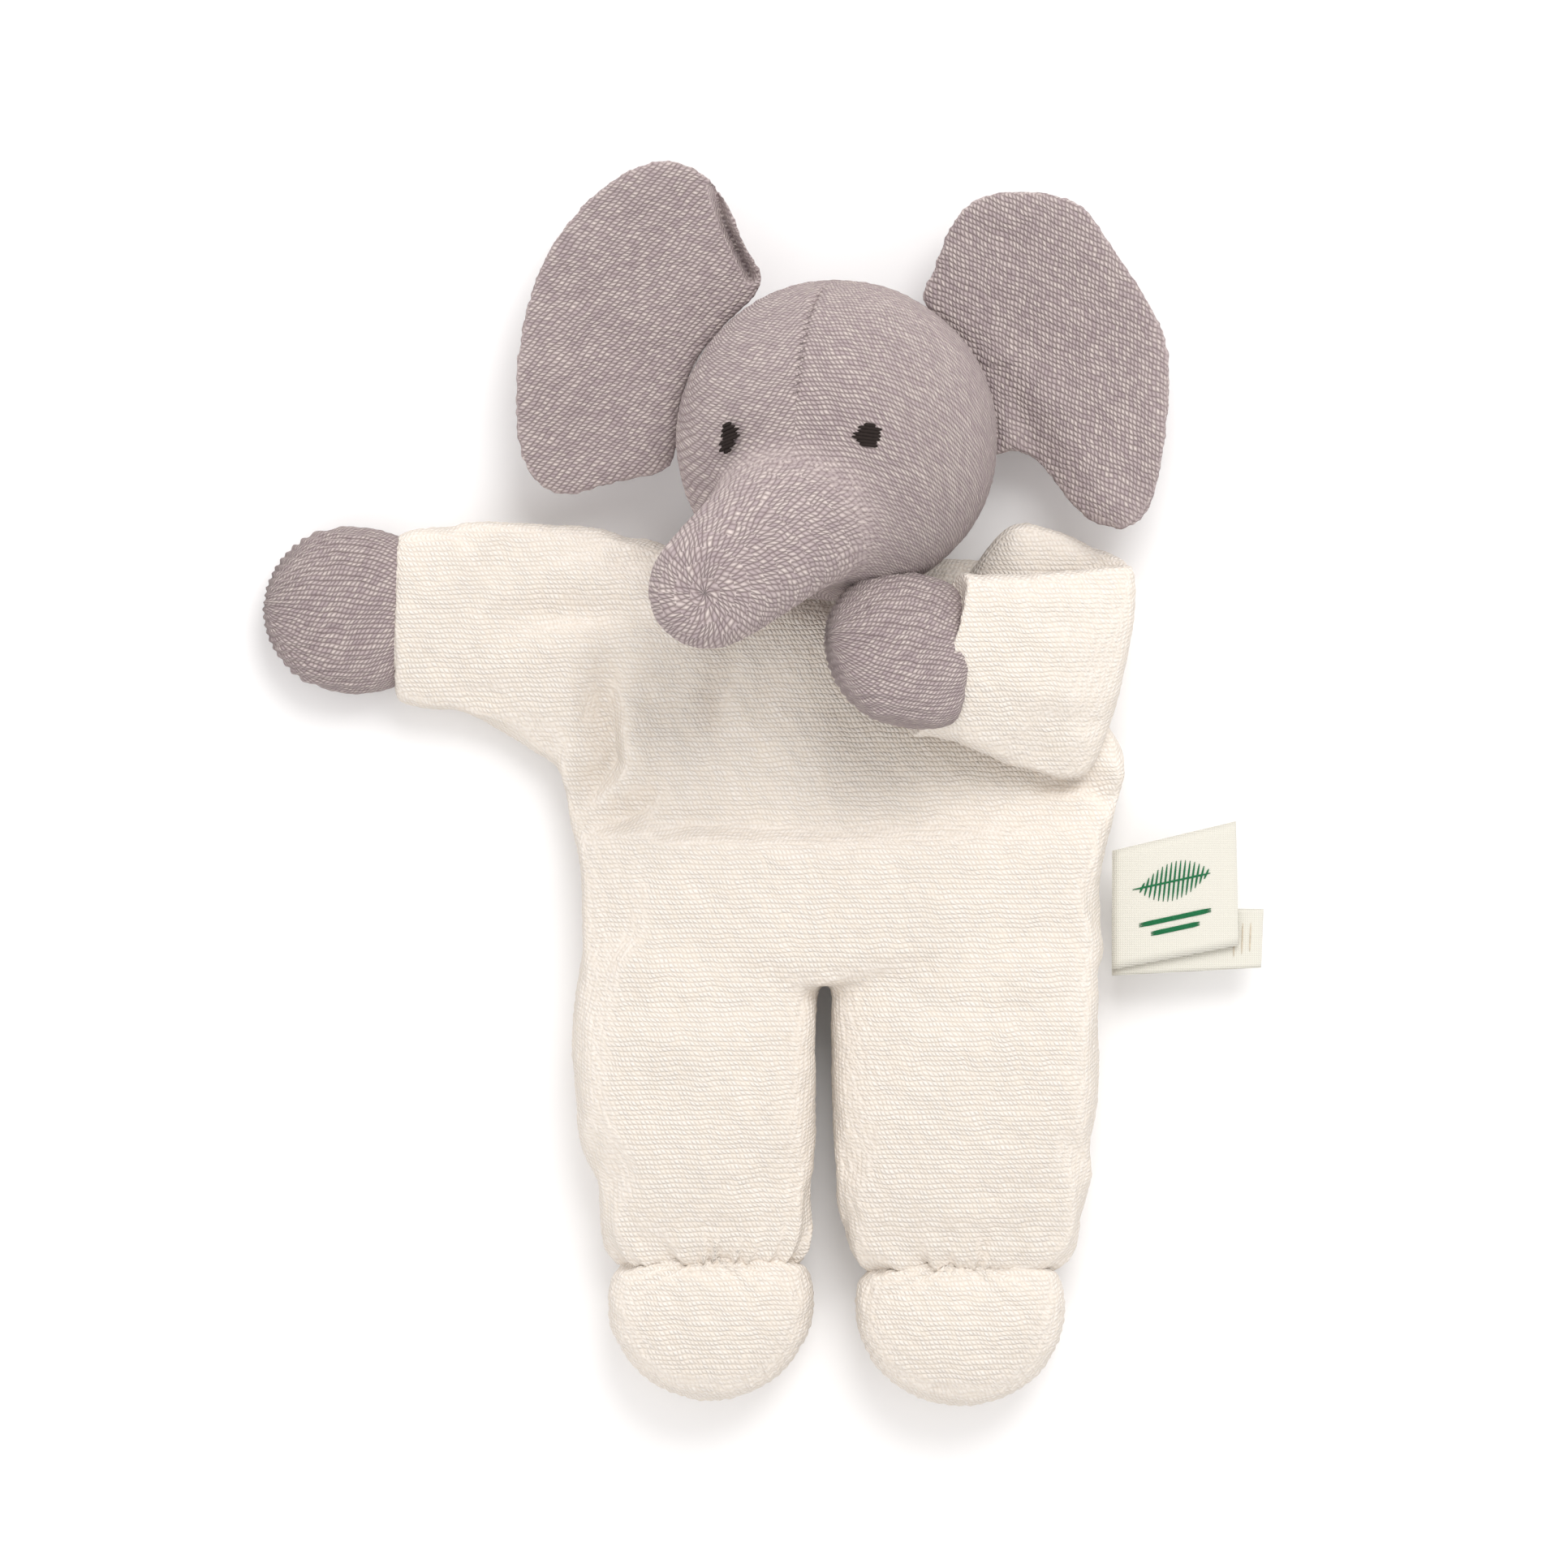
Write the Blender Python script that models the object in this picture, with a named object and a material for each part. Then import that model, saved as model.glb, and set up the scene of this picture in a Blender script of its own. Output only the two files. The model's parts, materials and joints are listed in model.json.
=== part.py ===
"""Soft elephant doll lying on its back: a terry romper with stuffed limbs, a ball head and two ears."""
import math

import bmesh
import bpy
from mathutils import Matrix, Vector

MM = 0.001

# Fabric and fits
FABRIC = 1.5 * MM
FILL_INSET = 2.3 * MM
END_FILL_INSET = 3.7 * MM
SEAM_GAP = 0.3 * MM
SIDE_SEAM_STEP = 1.7 * MM
HEAD_SEAM_HALF_GAP = 0.3 * MM
LIMB_SIDES = 16
LIMB_ROUNDNESS = 0.75
THREAD_RING_DIVISIONS = 24
THREAD_SIDES = 6

# Torso: half widths and thicknesses at stations along Y
TORSO_STATIONS = (
    (-25.5, 54.0, 27.2),
    (-12.0, 53.2, 27.6),
    (2.0, 53.2, 26.6),
    (9.0, 52.5, 25.6),
    (13.0, 49.5, 25.0),
    (17.0, 44.5, 24.5),
    (28.0, 39.0, 23.4),
    (38.0, 37.0, 21.8),
    (46.0, 35.0, 18.0),
    (51.0, 34.0, 12.5),
    (57.0, 33.0, 5.6),
)
SEAM_HEIGHT = 0.4
PANEL_DIVISIONS = 12

# Head and neck
HEAD_CENTRE = Vector((0, 81.5, 28.4)) * MM
HEAD_RADII = Vector((32, 32, 28)) * MM
FACE_TURN = math.radians(-15)
EYE_LONGITUDE = math.radians(26)
EYE_RISE = 0.7 * MM
EYE_RADII = Vector((2.0, 1.8, 0.5)) * MM
NECK_HEIGHT = 8.5 * MM
NECK_RADIUS = 5.5 * MM
NECK_PIVOT = Vector((0, 56, 8.5)) * MM
NECK_BALL = 6.5 * MM
NECK_START = 47.0 * MM
NECK_SHOULDER = 50.5 * MM
NECK_TIE_Y = 50.2 * MM
NECK_THREAD = 0.6 * MM
NECK_HOLE_ROOM = 2.1 * MM
NECK_HOLE_Y = 54.0 * MM
NECK_HOLE_LENGTH = 16.0 * MM

# Trunk
TRUNK_PIVOT = Vector((-5.2, 68.5, 47.3)) * MM
TRUNK_TIP = Vector((-25.5, 51.0, 66.0)) * MM
TRUNK_BASE_RADIUS = 13.6 * MM
TRUNK_TIP_RADIUS = 11.2 * MM
TRUNK_AXIS = Vector((-0.276, 0.832, 0.479))
TRUNK_SWEEP = (0, 15, 30, 45)
TRUNK_SWEEP_LENGTH = 40 * MM
SOCKET_ROOM = 0.5 * MM

# Ears: hinge line touches the head; outlines run round the free edge
EAR_LAYER = 1.6 * MM
EAR_HEIGHT = 15.2 * MM
EAR_HINGE_DISTANCE = 32.5 * MM
EAR_ROOT_RADIUS = 31.2 * MM
EAR_ROOT_DIVISIONS = 6
EAR_RIGHT_ROOT = (math.radians(190), math.radians(113))
EAR_LEFT_ROOT = (math.radians(57), math.radians(-5))
EAR_RIGHT_EDGE = (
    (-20.5, 126.5), (-25.5, 133.5), (-33.0, 137.0), (-42.6, 135.0), (-51.0, 128.5),
    (-57.5, 119.5), (-61.8, 109.5), (-64.0, 96.8), (-64.2, 84.5), (-62.8, 75.5),
    (-58.5, 70.8), (-53.5, 69.6), (-44.3, 71.8),
)
EAR_LEFT_EDGE = (
    (39.5, 76.5), (43.0, 71.5), (46.5, 66.0), (50.5, 64.2), (57.0, 63.6), (62.3, 67.4),
    (64.9, 74.5), (66.6, 87.0), (66.8, 96.8), (64.8, 105.0), (59.5, 113.5), (55.5, 120.5),
    (50.0, 127.0), (43.0, 130.0), (34.4, 129.6), (26.5, 125.5), (21.3, 118.5),
)

# Arms: shoulder disc, fold line and wrist
SHOULDER = Vector((44, 38, 7.2)) * MM
SHOULDER_RADIUS = 21.0 * MM
SHOULDER_CLEARANCE = 0.5 * MM
NOTCH_LENGTH = 50.0 * MM
SLEEVE_HALF_HEIGHT = 6.2 * MM
FOLD_X = 58.4 * MM
FOLD_HEIGHT = 14.6 * MM

# Legs: hip and ankle hinges run along X
HIP_Y = -34.0 * MM
LEG_HALF_HEIGHT = 14.0 * MM
HIP_CLEARANCE = 0.4 * MM
GROOVE_LENGTH = 130 * MM
ANKLE_THREAD = 0.5 * MM

# Labels in the left side seam
LABEL_SEAM_X = 55.2 * MM
LABEL_THICKNESS = 0.9 * MM
FRONT_LABEL = ((55.2, -1.2), (80.4, 4.9), (80.9, -20.5), (55.2, -25.4))
FRONT_LABEL_HEIGHT = 11.6 * MM
BACK_LABEL = ((55.2, -12.6), (86.1, -12.8), (85.6, -25.0), (55.2, -26.6))
BACK_LABEL_HEIGHT = 10.2 * MM


def clear_scene():
    for obj in list(bpy.data.objects):
        bpy.data.objects.remove(obj)


def material(name, colour, roughness):
    mat = bpy.data.materials.new(name)
    mat.use_nodes = True
    shader = mat.node_tree.nodes["Principled BSDF"]
    shader.inputs["Base Color"].default_value = (*colour, 1)
    shader.inputs["Roughness"].default_value = roughness
    shader.inputs["Metallic"].default_value = 0
    return mat


def make_materials():
    colours = {
        "cream_terry": ((0.88, 0.78, 0.66), 0.95),
        "grey_terry": ((0.40, 0.34, 0.33), 0.95),
        "wool_filling": ((0.80, 0.76, 0.68), 1.0),
        "cream_thread": ((0.82, 0.74, 0.62), 0.8),
        "dark_thread": ((0.03, 0.022, 0.02), 0.7),
        "label_ribbon": ((0.86, 0.85, 0.80), 0.7),
    }
    return {name: material(name, *values) for name, values in colours.items()}


def add_object(name, bm, mat, origin=Vector()):
    mesh = bpy.data.meshes.new(name)
    bmesh.ops.translate(bm, verts=bm.verts, vec=-origin)
    bm.to_mesh(mesh)
    bm.free()
    mesh.materials.append(mat)
    mesh.shade_smooth()
    obj = bpy.data.objects.new(name, mesh)
    obj.location = origin
    bpy.context.scene.collection.objects.link(obj)
    return obj


def face_outwards(bm):
    centre = sum((v.co for v in bm.verts), Vector()) / len(bm.verts)
    bm.normal_update()
    facing = sum((f.calc_center_median() - centre).dot(f.normal) * f.calc_area() for f in bm.faces)
    if facing < 0:
        bmesh.ops.reverse_faces(bm, faces=bm.faces)


def bridge(bm, rows, wrap):
    count = len(rows[0])
    last = count if wrap else count - 1
    for low, high in zip(rows, rows[1:]):
        for k in range(last):
            n = (k + 1) % count
            bm.faces.new((low[k], low[n], high[n], high[k]))


def signed_power(value, power):
    return math.copysign(abs(value) ** power, value)


def section_ring(bm, centre, across, up, roundness=LIMB_ROUNDNESS, sides=LIMB_SIDES):
    ring = []
    for k in range(sides):
        angle = 2 * math.pi * (k + 0.5) / sides
        side = across * signed_power(math.cos(angle), roundness)
        rise = up * signed_power(math.sin(angle), roundness)
        ring.append(bm.verts.new(centre + side + rise))
    return ring


def loft(name, sections, mat, origin, close_start=True, close_end=True):
    bm = bmesh.new()
    rings = [section_ring(bm, *section) for section in sections]
    bridge(bm, rings, wrap=True)
    if close_start:
        bm.faces.new(list(reversed(rings[0])))
    if close_end:
        bm.faces.new(rings[-1])
    face_outwards(bm)
    return add_object(name, bm, mat, origin)


def give_thickness(obj, thickness=FABRIC):
    solid = obj.modifiers.new("fabric", "SOLIDIFY")
    solid.thickness = thickness
    solid.offset = -1
    solid.use_even_offset = True
    return obj


def cut(obj, cutter):
    boolean = obj.modifiers.new("cut_" + cutter.name, "BOOLEAN")
    boolean.operation = "DIFFERENCE"
    boolean.solver = "EXACT"
    boolean.object = cutter


def as_cutter(obj):
    obj.hide_render = True
    obj.display_type = "WIRE"
    return obj


def cylinder_cutter(name, centre, axis, radius, length, sides=48):
    bm = bmesh.new()
    bmesh.ops.create_cone(
        bm, cap_ends=True, segments=sides, radius1=radius, radius2=radius, depth=length
    )
    turn = Vector((0, 0, 1)).rotation_difference(axis).to_matrix()
    bmesh.ops.rotate(bm, verts=bm.verts, cent=Vector(), matrix=turn)
    bmesh.ops.translate(bm, verts=bm.verts, vec=centre)
    return as_cutter(add_object(name, bm, bpy.data.materials["wool_filling"]))


def ball(name, centre, radii, mat, turn=None, origin=Vector(), segments=24, rings=12):
    bm = bmesh.new()
    bmesh.ops.create_uvsphere(bm, u_segments=segments, v_segments=rings, radius=1)
    matrix = Matrix.Diagonal((*radii, 1))
    if turn is not None:
        matrix = turn.to_4x4() @ matrix
    bmesh.ops.transform(bm, verts=bm.verts, matrix=Matrix.Translation(centre) @ matrix)
    return add_object(name, bm, mat, origin)


# ---- torso -----------------------------------------------------------------


def torso_point(station, angle, inset):
    y, half_width, thickness = (value * MM for value in station)
    low = inset
    high = thickness - inset
    rise = math.sin(angle)
    if rise >= 0:
        level = SEAM_HEIGHT + (1 - SEAM_HEIGHT) * rise**0.8
    else:
        level = SEAM_HEIGHT * max(0.0, 1 + 1.6 * rise)
    x = (half_width - inset) * signed_power(math.cos(angle), 0.85)
    return Vector((x, y, low + (high - low) * level))


def torso_row(bm, station, angles, inset=0.0, lift=0.0):
    raised = Vector((0, 0, lift))
    return [bm.verts.new(torso_point(station, angle, inset) + raised) for angle in angles]


def make_panel(name, start, lift, mat):
    """Half of the torso's skin, over half a turn from the start angle."""
    bm = bmesh.new()
    angles = [start + math.pi * k / PANEL_DIVISIONS for k in range(PANEL_DIVISIONS + 1)]
    rows = [torso_row(bm, station, angles, lift=lift) for station in TORSO_STATIONS]
    bridge(bm, rows, wrap=False)
    face_outwards(bm)
    return give_thickness(add_object(name, bm, mat))


def make_torso_filling(mat):
    bm = bmesh.new()
    angles = [math.pi * k / PANEL_DIVISIONS for k in range(PANEL_DIVISIONS * 2)]
    rows = [torso_row(bm, station, angles, inset=FILL_INSET) for station in TORSO_STATIONS[:-1]]
    bridge(bm, rows, wrap=True)
    bm.faces.new(list(reversed(rows[0])))
    bm.faces.new(rows[-1])
    face_outwards(bm)
    return add_object("torso_filling", bm, mat)


def make_torso(mats):
    front = make_panel("romper_front", 0, SIDE_SEAM_STEP, mats["cream_terry"])
    back = make_panel("romper_back", math.pi, 0, mats["cream_terry"])
    filling = make_torso_filling(mats["wool_filling"])
    cutters = [
        cylinder_cutter(
            "groove_hips",
            Vector((0, HIP_Y, LEG_HALF_HEIGHT)),
            Vector((1, 0, 0)),
            LEG_HALF_HEIGHT + HIP_CLEARANCE,
            GROOVE_LENGTH,
        ),
        cylinder_cutter(
            "hole_neck",
            Vector((0, NECK_HOLE_Y, NECK_HEIGHT)),
            Vector((0, 1, 0)),
            NECK_RADIUS + NECK_HOLE_ROOM,
            NECK_HOLE_LENGTH,
            sides=24,
        ),
    ]
    for side, name in ((-1, "right"), (1, "left")):
        centre = Vector((side * SHOULDER.x, SHOULDER.y, NOTCH_LENGTH * 0.3))
        radius = SHOULDER_RADIUS + SHOULDER_CLEARANCE
        up = Vector((0, 0, 1))
        cutters.append(cylinder_cutter("notch_" + name, centre, up, radius, NOTCH_LENGTH))
    for piece in (front, back, filling):
        for cutter in cutters:
            cut(piece, cutter)


# ---- neck and head ---------------------------------------------------------


def make_neck(mats):
    axis = Vector((0, 1, 0))
    across = Vector((1, 0, 0))
    up = Vector((0, 0, 1))
    sections = []
    for y, radius in ((NECK_START, NECK_RADIUS * 0.98), (NECK_SHOULDER, NECK_RADIUS)):
        centre = Vector((0, y, NECK_HEIGHT))
        sections.append((centre, across * radius, up * radius, 1.0))
    for degrees in (-50, -25, 0, 25, 50, 75):
        angle = math.radians(degrees)
        radius = NECK_BALL * math.cos(angle)
        centre = NECK_PIVOT + axis * NECK_BALL * math.sin(angle)
        sections.append((centre, across * radius, up * radius, 1.0))
    loft("neck_stalk", sections, mats["grey_terry"], NECK_PIVOT)
    thread_radius = NECK_RADIUS + NECK_THREAD + SEAM_GAP
    centre = Vector((0, NECK_TIE_Y, NECK_HEIGHT))
    make_thread_ring(
        "neck_tie_thread", centre, thread_radius, thread_radius, NECK_THREAD, mats["cream_thread"], 1.0
    )


def make_thread_ring(name, centre, half_width, half_height, radius, mat, roundness):
    """Closed loop of thread round a gather, in a plane across Y."""
    across, up = Vector((1, 0, 0)), Vector((0, 0, 1))
    normal = across.cross(up)
    bm = bmesh.new()
    rows = []
    for k in range(THREAD_RING_DIVISIONS):
        angle = 2 * math.pi * k / THREAD_RING_DIVISIONS
        out = across * half_width * signed_power(math.cos(angle), roundness)
        out += up * half_height * signed_power(math.sin(angle), roundness)
        direction = out.normalized()
        row = []
        for j in range(THREAD_SIDES):
            turn = 2 * math.pi * j / THREAD_SIDES
            offset = direction * radius * math.cos(turn) + normal * radius * math.sin(turn)
            row.append(bm.verts.new(centre + out + offset))
        rows.append(row)
    rows.append(rows[0])
    bridge(bm, rows, wrap=True)
    bmesh.ops.recalc_face_normals(bm, faces=bm.faces)
    return add_object(name, bm, mat)


def make_head_half(name, side, mat):
    bm = bmesh.new()
    bmesh.ops.create_uvsphere(bm, u_segments=24, v_segments=12, radius=1)
    poles_along_y = Matrix.Rotation(math.radians(-90), 4, "X")
    bmesh.ops.transform(bm, verts=bm.verts, matrix=Matrix.Diagonal((*HEAD_RADII, 1)) @ poles_along_y)
    bmesh.ops.bisect_plane(
        bm,
        geom=bm.verts[:] + bm.edges[:] + bm.faces[:],
        plane_co=Vector((side * HEAD_SEAM_HALF_GAP, 0, 0)),
        plane_no=Vector((-side, 0, 0)),
        clear_outer=True,
    )
    place = Matrix.Translation(HEAD_CENTRE) @ Matrix.Rotation(FACE_TURN, 4, "Y")
    bmesh.ops.transform(bm, verts=bm.verts, matrix=place)
    return give_thickness(add_object(name, bm, mat, NECK_PIVOT))


def face_point(longitude, rise):
    radius = HEAD_RADII.z * math.sqrt(1 - (rise / HEAD_RADII.y) ** 2)
    widen = HEAD_RADII.x / HEAD_RADII.z
    local = Vector((radius * widen * math.sin(longitude), rise, radius * math.cos(longitude)))
    normal = Vector([local[k] / HEAD_RADII[k] ** 2 for k in range(3)]).normalized()
    turn = Matrix.Rotation(FACE_TURN, 3, "Y")
    return HEAD_CENTRE + turn @ local, turn @ normal


def make_eye(name, longitude, mat):
    point, normal = face_point(longitude, EYE_RISE)
    centre = point + normal * (EYE_RADII.z + SEAM_GAP)
    turn = Vector((0, 0, 1)).rotation_difference(normal).to_matrix()
    ball(name, centre, EYE_RADII, mat, turn, NECK_PIVOT, segments=12, rings=6)


def make_head(mats):
    covers = [
        make_head_half("head_cover_right", -1, mats["grey_terry"]),
        make_head_half("head_cover_left", 1, mats["grey_terry"]),
    ]
    turn = Matrix.Rotation(FACE_TURN, 3, "Y")
    inner = HEAD_RADII - Vector((FILL_INSET, FILL_INSET, FILL_INSET))
    filling = ball("head_filling", HEAD_CENTRE, inner, mats["wool_filling"], turn, NECK_PIVOT)
    trunk_radius = TRUNK_BASE_RADIUS + SOCKET_ROOM
    neck_radius = NECK_BALL + SOCKET_ROOM
    spare = mats["wool_filling"]
    cutters = [
        as_cutter(ball("socket_trunk", TRUNK_PIVOT, Vector((trunk_radius,) * 3), spare)),
        as_cutter(ball("socket_neck", NECK_PIVOT, Vector((neck_radius,) * 3), spare)),
    ]
    rest = (TRUNK_TIP - TRUNK_PIVOT).normalized()
    for degrees in TRUNK_SWEEP:
        direction = Matrix.Rotation(math.radians(degrees), 3, TRUNK_AXIS) @ rest
        middle = TRUNK_PIVOT + direction * TRUNK_SWEEP_LENGTH / 2
        name = "sweep_trunk_" + str(degrees)
        cutters.append(cylinder_cutter(name, middle, direction, trunk_radius, TRUNK_SWEEP_LENGTH, 24))
    for piece in (*covers, filling):
        for cutter in cutters:
            cut(piece, cutter)
    make_eye("eye_right", -EYE_LONGITUDE, mats["dark_thread"])
    make_eye("eye_left", EYE_LONGITUDE, mats["dark_thread"])


# ---- trunk -----------------------------------------------------------------


def trunk_sections(inset):
    direction = (TRUNK_TIP - TRUNK_PIVOT).normalized()
    length = (TRUNK_TIP - TRUNK_PIVOT).length
    across = direction.cross(Vector((0, 1, 0))).normalized()
    up = across.cross(direction)
    base = TRUNK_BASE_RADIUS - inset
    tip = TRUNK_TIP_RADIUS - inset
    profile = [(base * math.sin(math.radians(a)), base * math.cos(math.radians(a)))
               for a in (-78, -50, -25, 0)]
    profile += [(length * 0.5, (base + tip) / 2)]
    profile += [(length + tip * math.sin(math.radians(a)), tip * math.cos(math.radians(a)))
                for a in (0, 30, 58, 80)]
    return [(TRUNK_PIVOT + direction * s, across * r, up * r, 1.0) for s, r in profile]


def make_trunk(mats):
    cover = loft("trunk_cover", trunk_sections(0), mats["grey_terry"], TRUNK_PIVOT, close_start=False)
    give_thickness(cover)
    loft("trunk_filling", trunk_sections(FILL_INSET), mats["wool_filling"], TRUNK_PIVOT)


# ---- ears ------------------------------------------------------------------


def ear_outline(root, edge):
    """The free edge, closed by an arc along the head."""
    points = [Vector((x, y)) * MM for x, y in edge]
    start, end = root
    for k in range(EAR_ROOT_DIVISIONS + 1):
        angle = start + (end - start) * k / EAR_ROOT_DIVISIONS
        reach = Vector((math.cos(angle), math.sin(angle))) * EAR_ROOT_RADIUS
        points.append(HEAD_CENTRE.xy + reach)
    return points


def ear_hinge(root):
    middle = (root[0] + root[1]) / 2
    reach = Vector((math.cos(middle), math.sin(middle), 0)) * EAR_HINGE_DISTANCE
    return Vector((HEAD_CENTRE.x, HEAD_CENTRE.y, EAR_HEIGHT + EAR_LAYER)) + reach


def make_ear_layer(name, outline, height, mat, origin):
    bm = bmesh.new()
    bottom = [bm.verts.new((p.x, p.y, height)) for p in outline]
    face = bm.faces.new(bottom)
    raised = bmesh.ops.extrude_face_region(bm, geom=[face])
    moved = [v for v in raised["geom"] if isinstance(v, bmesh.types.BMVert)]
    bmesh.ops.translate(bm, verts=moved, vec=(0, 0, EAR_LAYER))
    bmesh.ops.recalc_face_normals(bm, faces=bm.faces)
    return add_object(name, bm, mat, origin)


def make_ears(mats):
    ears = (("right", EAR_RIGHT_EDGE, EAR_RIGHT_ROOT), ("left", EAR_LEFT_EDGE, EAR_LEFT_ROOT))
    for side, edge, root in ears:
        outline = ear_outline(root, edge)
        hinge = ear_hinge(root)
        upper = EAR_HEIGHT + EAR_LAYER + SEAM_GAP
        make_ear_layer("ear_back_" + side, outline, EAR_HEIGHT, mats["grey_terry"], hinge)
        make_ear_layer("ear_front_" + side, outline, upper, mats["grey_terry"], hinge)


# ---- arms ------------------------------------------------------------------


# Upper sleeve past the shoulder disc: position out, position up the body and half width
UPPER_SLEEVE_END = (
    (50.0 * MM, 40.0 * MM, 20.6 * MM),
    (FOLD_X - 0.2 * MM, 42.5 * MM, 18.6 * MM),
)


def upper_sleeve_sections(side, inset):
    radius = SHOULDER_RADIUS - inset
    up = Vector((0, 0, SLEEVE_HALF_HEIGHT - inset))
    sections = []
    for degrees in (-72, -52, -30, 0):
        angle = math.radians(degrees)
        centre = Vector((side * (SHOULDER.x + radius * math.sin(angle)), SHOULDER.y, SHOULDER.z))
        sections.append((centre, Vector((0, radius * math.cos(angle), 0)), up))
    for x, y, half_width in UPPER_SLEEVE_END:
        centre = Vector((side * x, y, SHOULDER.z))
        sections.append((centre, Vector((0, half_width - inset, 0)), up))
    return sections


def limb_sections(stations, direction, across, up, inset, shrink_end):
    """Sections at (position, half width, half height) stations; the far end pulls in when shrunk."""
    first = stations[0][0].copy()
    last = stations[-1][0]
    length = (last - first).dot(direction)
    keep = (length - shrink_end) / length
    sections = []
    for position, half_width, half_height in stations:
        along = (position - first).dot(direction)
        centre = position - direction * along * (1 - keep)
        width = max(half_width - inset, 0.8 * MM)
        height = max(half_height - inset, 0.5 * MM)
        sections.append((centre, across * width, up * height))
    return sections


def scaled(rows):
    return [(Vector(p) * MM, w * MM, h * MM) for p, w, h in rows]


RIGHT_SLEEVE = scaled((
    ((-58.7, 44.4, 7.5), 18.6, 6.3),
    ((-66.0, 44.4, 7.5), 19.4, 6.5),
    ((-76.0, 44.4, 7.5), 18.8, 6.8),
    ((-87.8, 44.4, 7.5), 17.4, 6.6),
))
LEFT_SLEEVE = scaled((
    ((58.2, 35.0, 22.6), 19.6, 6.3),
    ((48.0, 35.6, 26.2), 19.4, 6.5),
    ((37.0, 36.8, 30.2), 18.0, 6.8),
    ((25.4, 38.0, 34.4), 16.8, 6.6),
))

# Hands: distance past the wrist hinge, half width and half height
HAND_PROFILE = (
    (-2.2, 15.4, 2.0), (0.0, 16.2, 4.0), (2.0, 16.8, 6.6), (6.5, 17.4, 8.2), (13.0, 17.0, 8.6),
    (19.0, 13.8, 7.0), (22.8, 9.0, 4.6), (24.6, 3.2, 1.6),
)
HANDS = {
    "right": {"wrist": Vector((-91.6, 46.0, 9.4)) * MM, "heading": Vector((-1, 0.08, 0)),
              "roll": 0.0, "width": 1.0},
    "left": {"wrist": Vector((21.4, 37.6, 37.0)) * MM, "heading": Vector((-1, 0.12, 0.36)),
             "roll": math.radians(20), "width": 0.94},
}
WRIST_ROOM = 1.4 * MM


def arm_axes(heading, roll):
    """Direction along the limb, across it and out of its flat side."""
    direction = heading.normalized()
    across = Vector((0, math.cos(roll), math.sin(roll)))
    across = (across - direction * across.dot(direction)).normalized()
    return direction, across, across.cross(direction)


def make_lower_sleeve(side, sleeve, mats):
    direction, across, up = arm_axes(sleeve[-1][0] - sleeve[0][0], 0)
    origin = Vector(((1 if side == "left" else -1) * FOLD_X, sleeve[0][0].y, FOLD_HEIGHT))
    tube = limb_sections(sleeve, direction, across, up, 0, 0)
    cover = loft("lower_sleeve_" + side, tube, mats["cream_terry"], origin, False, False)
    give_thickness(cover)
    stuffing = limb_sections(sleeve, direction, across, up, FILL_INSET, WRIST_ROOM)
    loft("lower_filling_" + side, stuffing, mats["wool_filling"], origin)


def make_hand(side, mats):
    hand = HANDS[side]
    direction, across, up = arm_axes(hand["heading"], hand["roll"])
    stations = [(hand["wrist"] + direction * s * MM, w * MM * hand["width"], h * MM)
                for s, w, h in HAND_PROFILE]
    mitt = limb_sections(stations, direction, across, up, 0, 0)
    cover = loft("hand_mitt_" + side, mitt, mats["grey_terry"], hand["wrist"], False, True)
    give_thickness(cover)
    inner = limb_sections(stations[3:-1], direction, across, up, END_FILL_INSET, END_FILL_INSET)
    loft("hand_filling_" + side, inner, mats["wool_filling"], hand["wrist"])


def make_arms(mats):
    for side, sign, sleeve in (("right", -1, RIGHT_SLEEVE), ("left", 1, LEFT_SLEEVE)):
        pivot = Vector((sign * SHOULDER.x, SHOULDER.y, SHOULDER.z))
        sections = upper_sleeve_sections(sign, 0)
        cover = loft("upper_sleeve_" + side, sections, mats["cream_terry"], pivot, True, False)
        give_thickness(cover)
        stuffing = upper_sleeve_sections(sign, FILL_INSET)
        loft("upper_filling_" + side, stuffing, mats["wool_filling"], pivot)
        make_lower_sleeve(side, sleeve, mats)
        make_hand(side, mats)


# ---- legs ------------------------------------------------------------------

LEG_SHAPES = {
    "right": {
        "leg": ((-34, -28.2, 24.8), (-45, -28.0, 24.8), (-60, -28.0, 24.2), (-71, -26.6, 21.8),
                (-77, -25.6, 18.6), (-79.4, -25.2, 16.4)),
        "foot_x": -25.2, "foot_half_width": 20.6, "ankle_y": -84.4, "toe_y": -111.0,
    },
    "left": {
        "leg": ((-34, 27.6, 25.8), (-45, 27.2, 26.2), (-60, 26.4, 25.8), (-71, 25.4, 23.2),
                (-77, 24.8, 20.0), (-80.6, 24.6, 17.6)),
        "foot_x": 24.9, "foot_half_width": 21.0, "ankle_y": -85.6, "toe_y": -112.4,
    },
}
LEG_HALF_HEIGHTS = (14.0, 14.0, 13.6, 12.6, 10.2, 7.6)
LEG_TOP_ANGLES = (72, 48, 24)
LEG_TOP_ROUNDING = 1.4 * MM
LEG_LIFT = 1.0 * MM
FOOT_HEIGHT = 12.6


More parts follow.
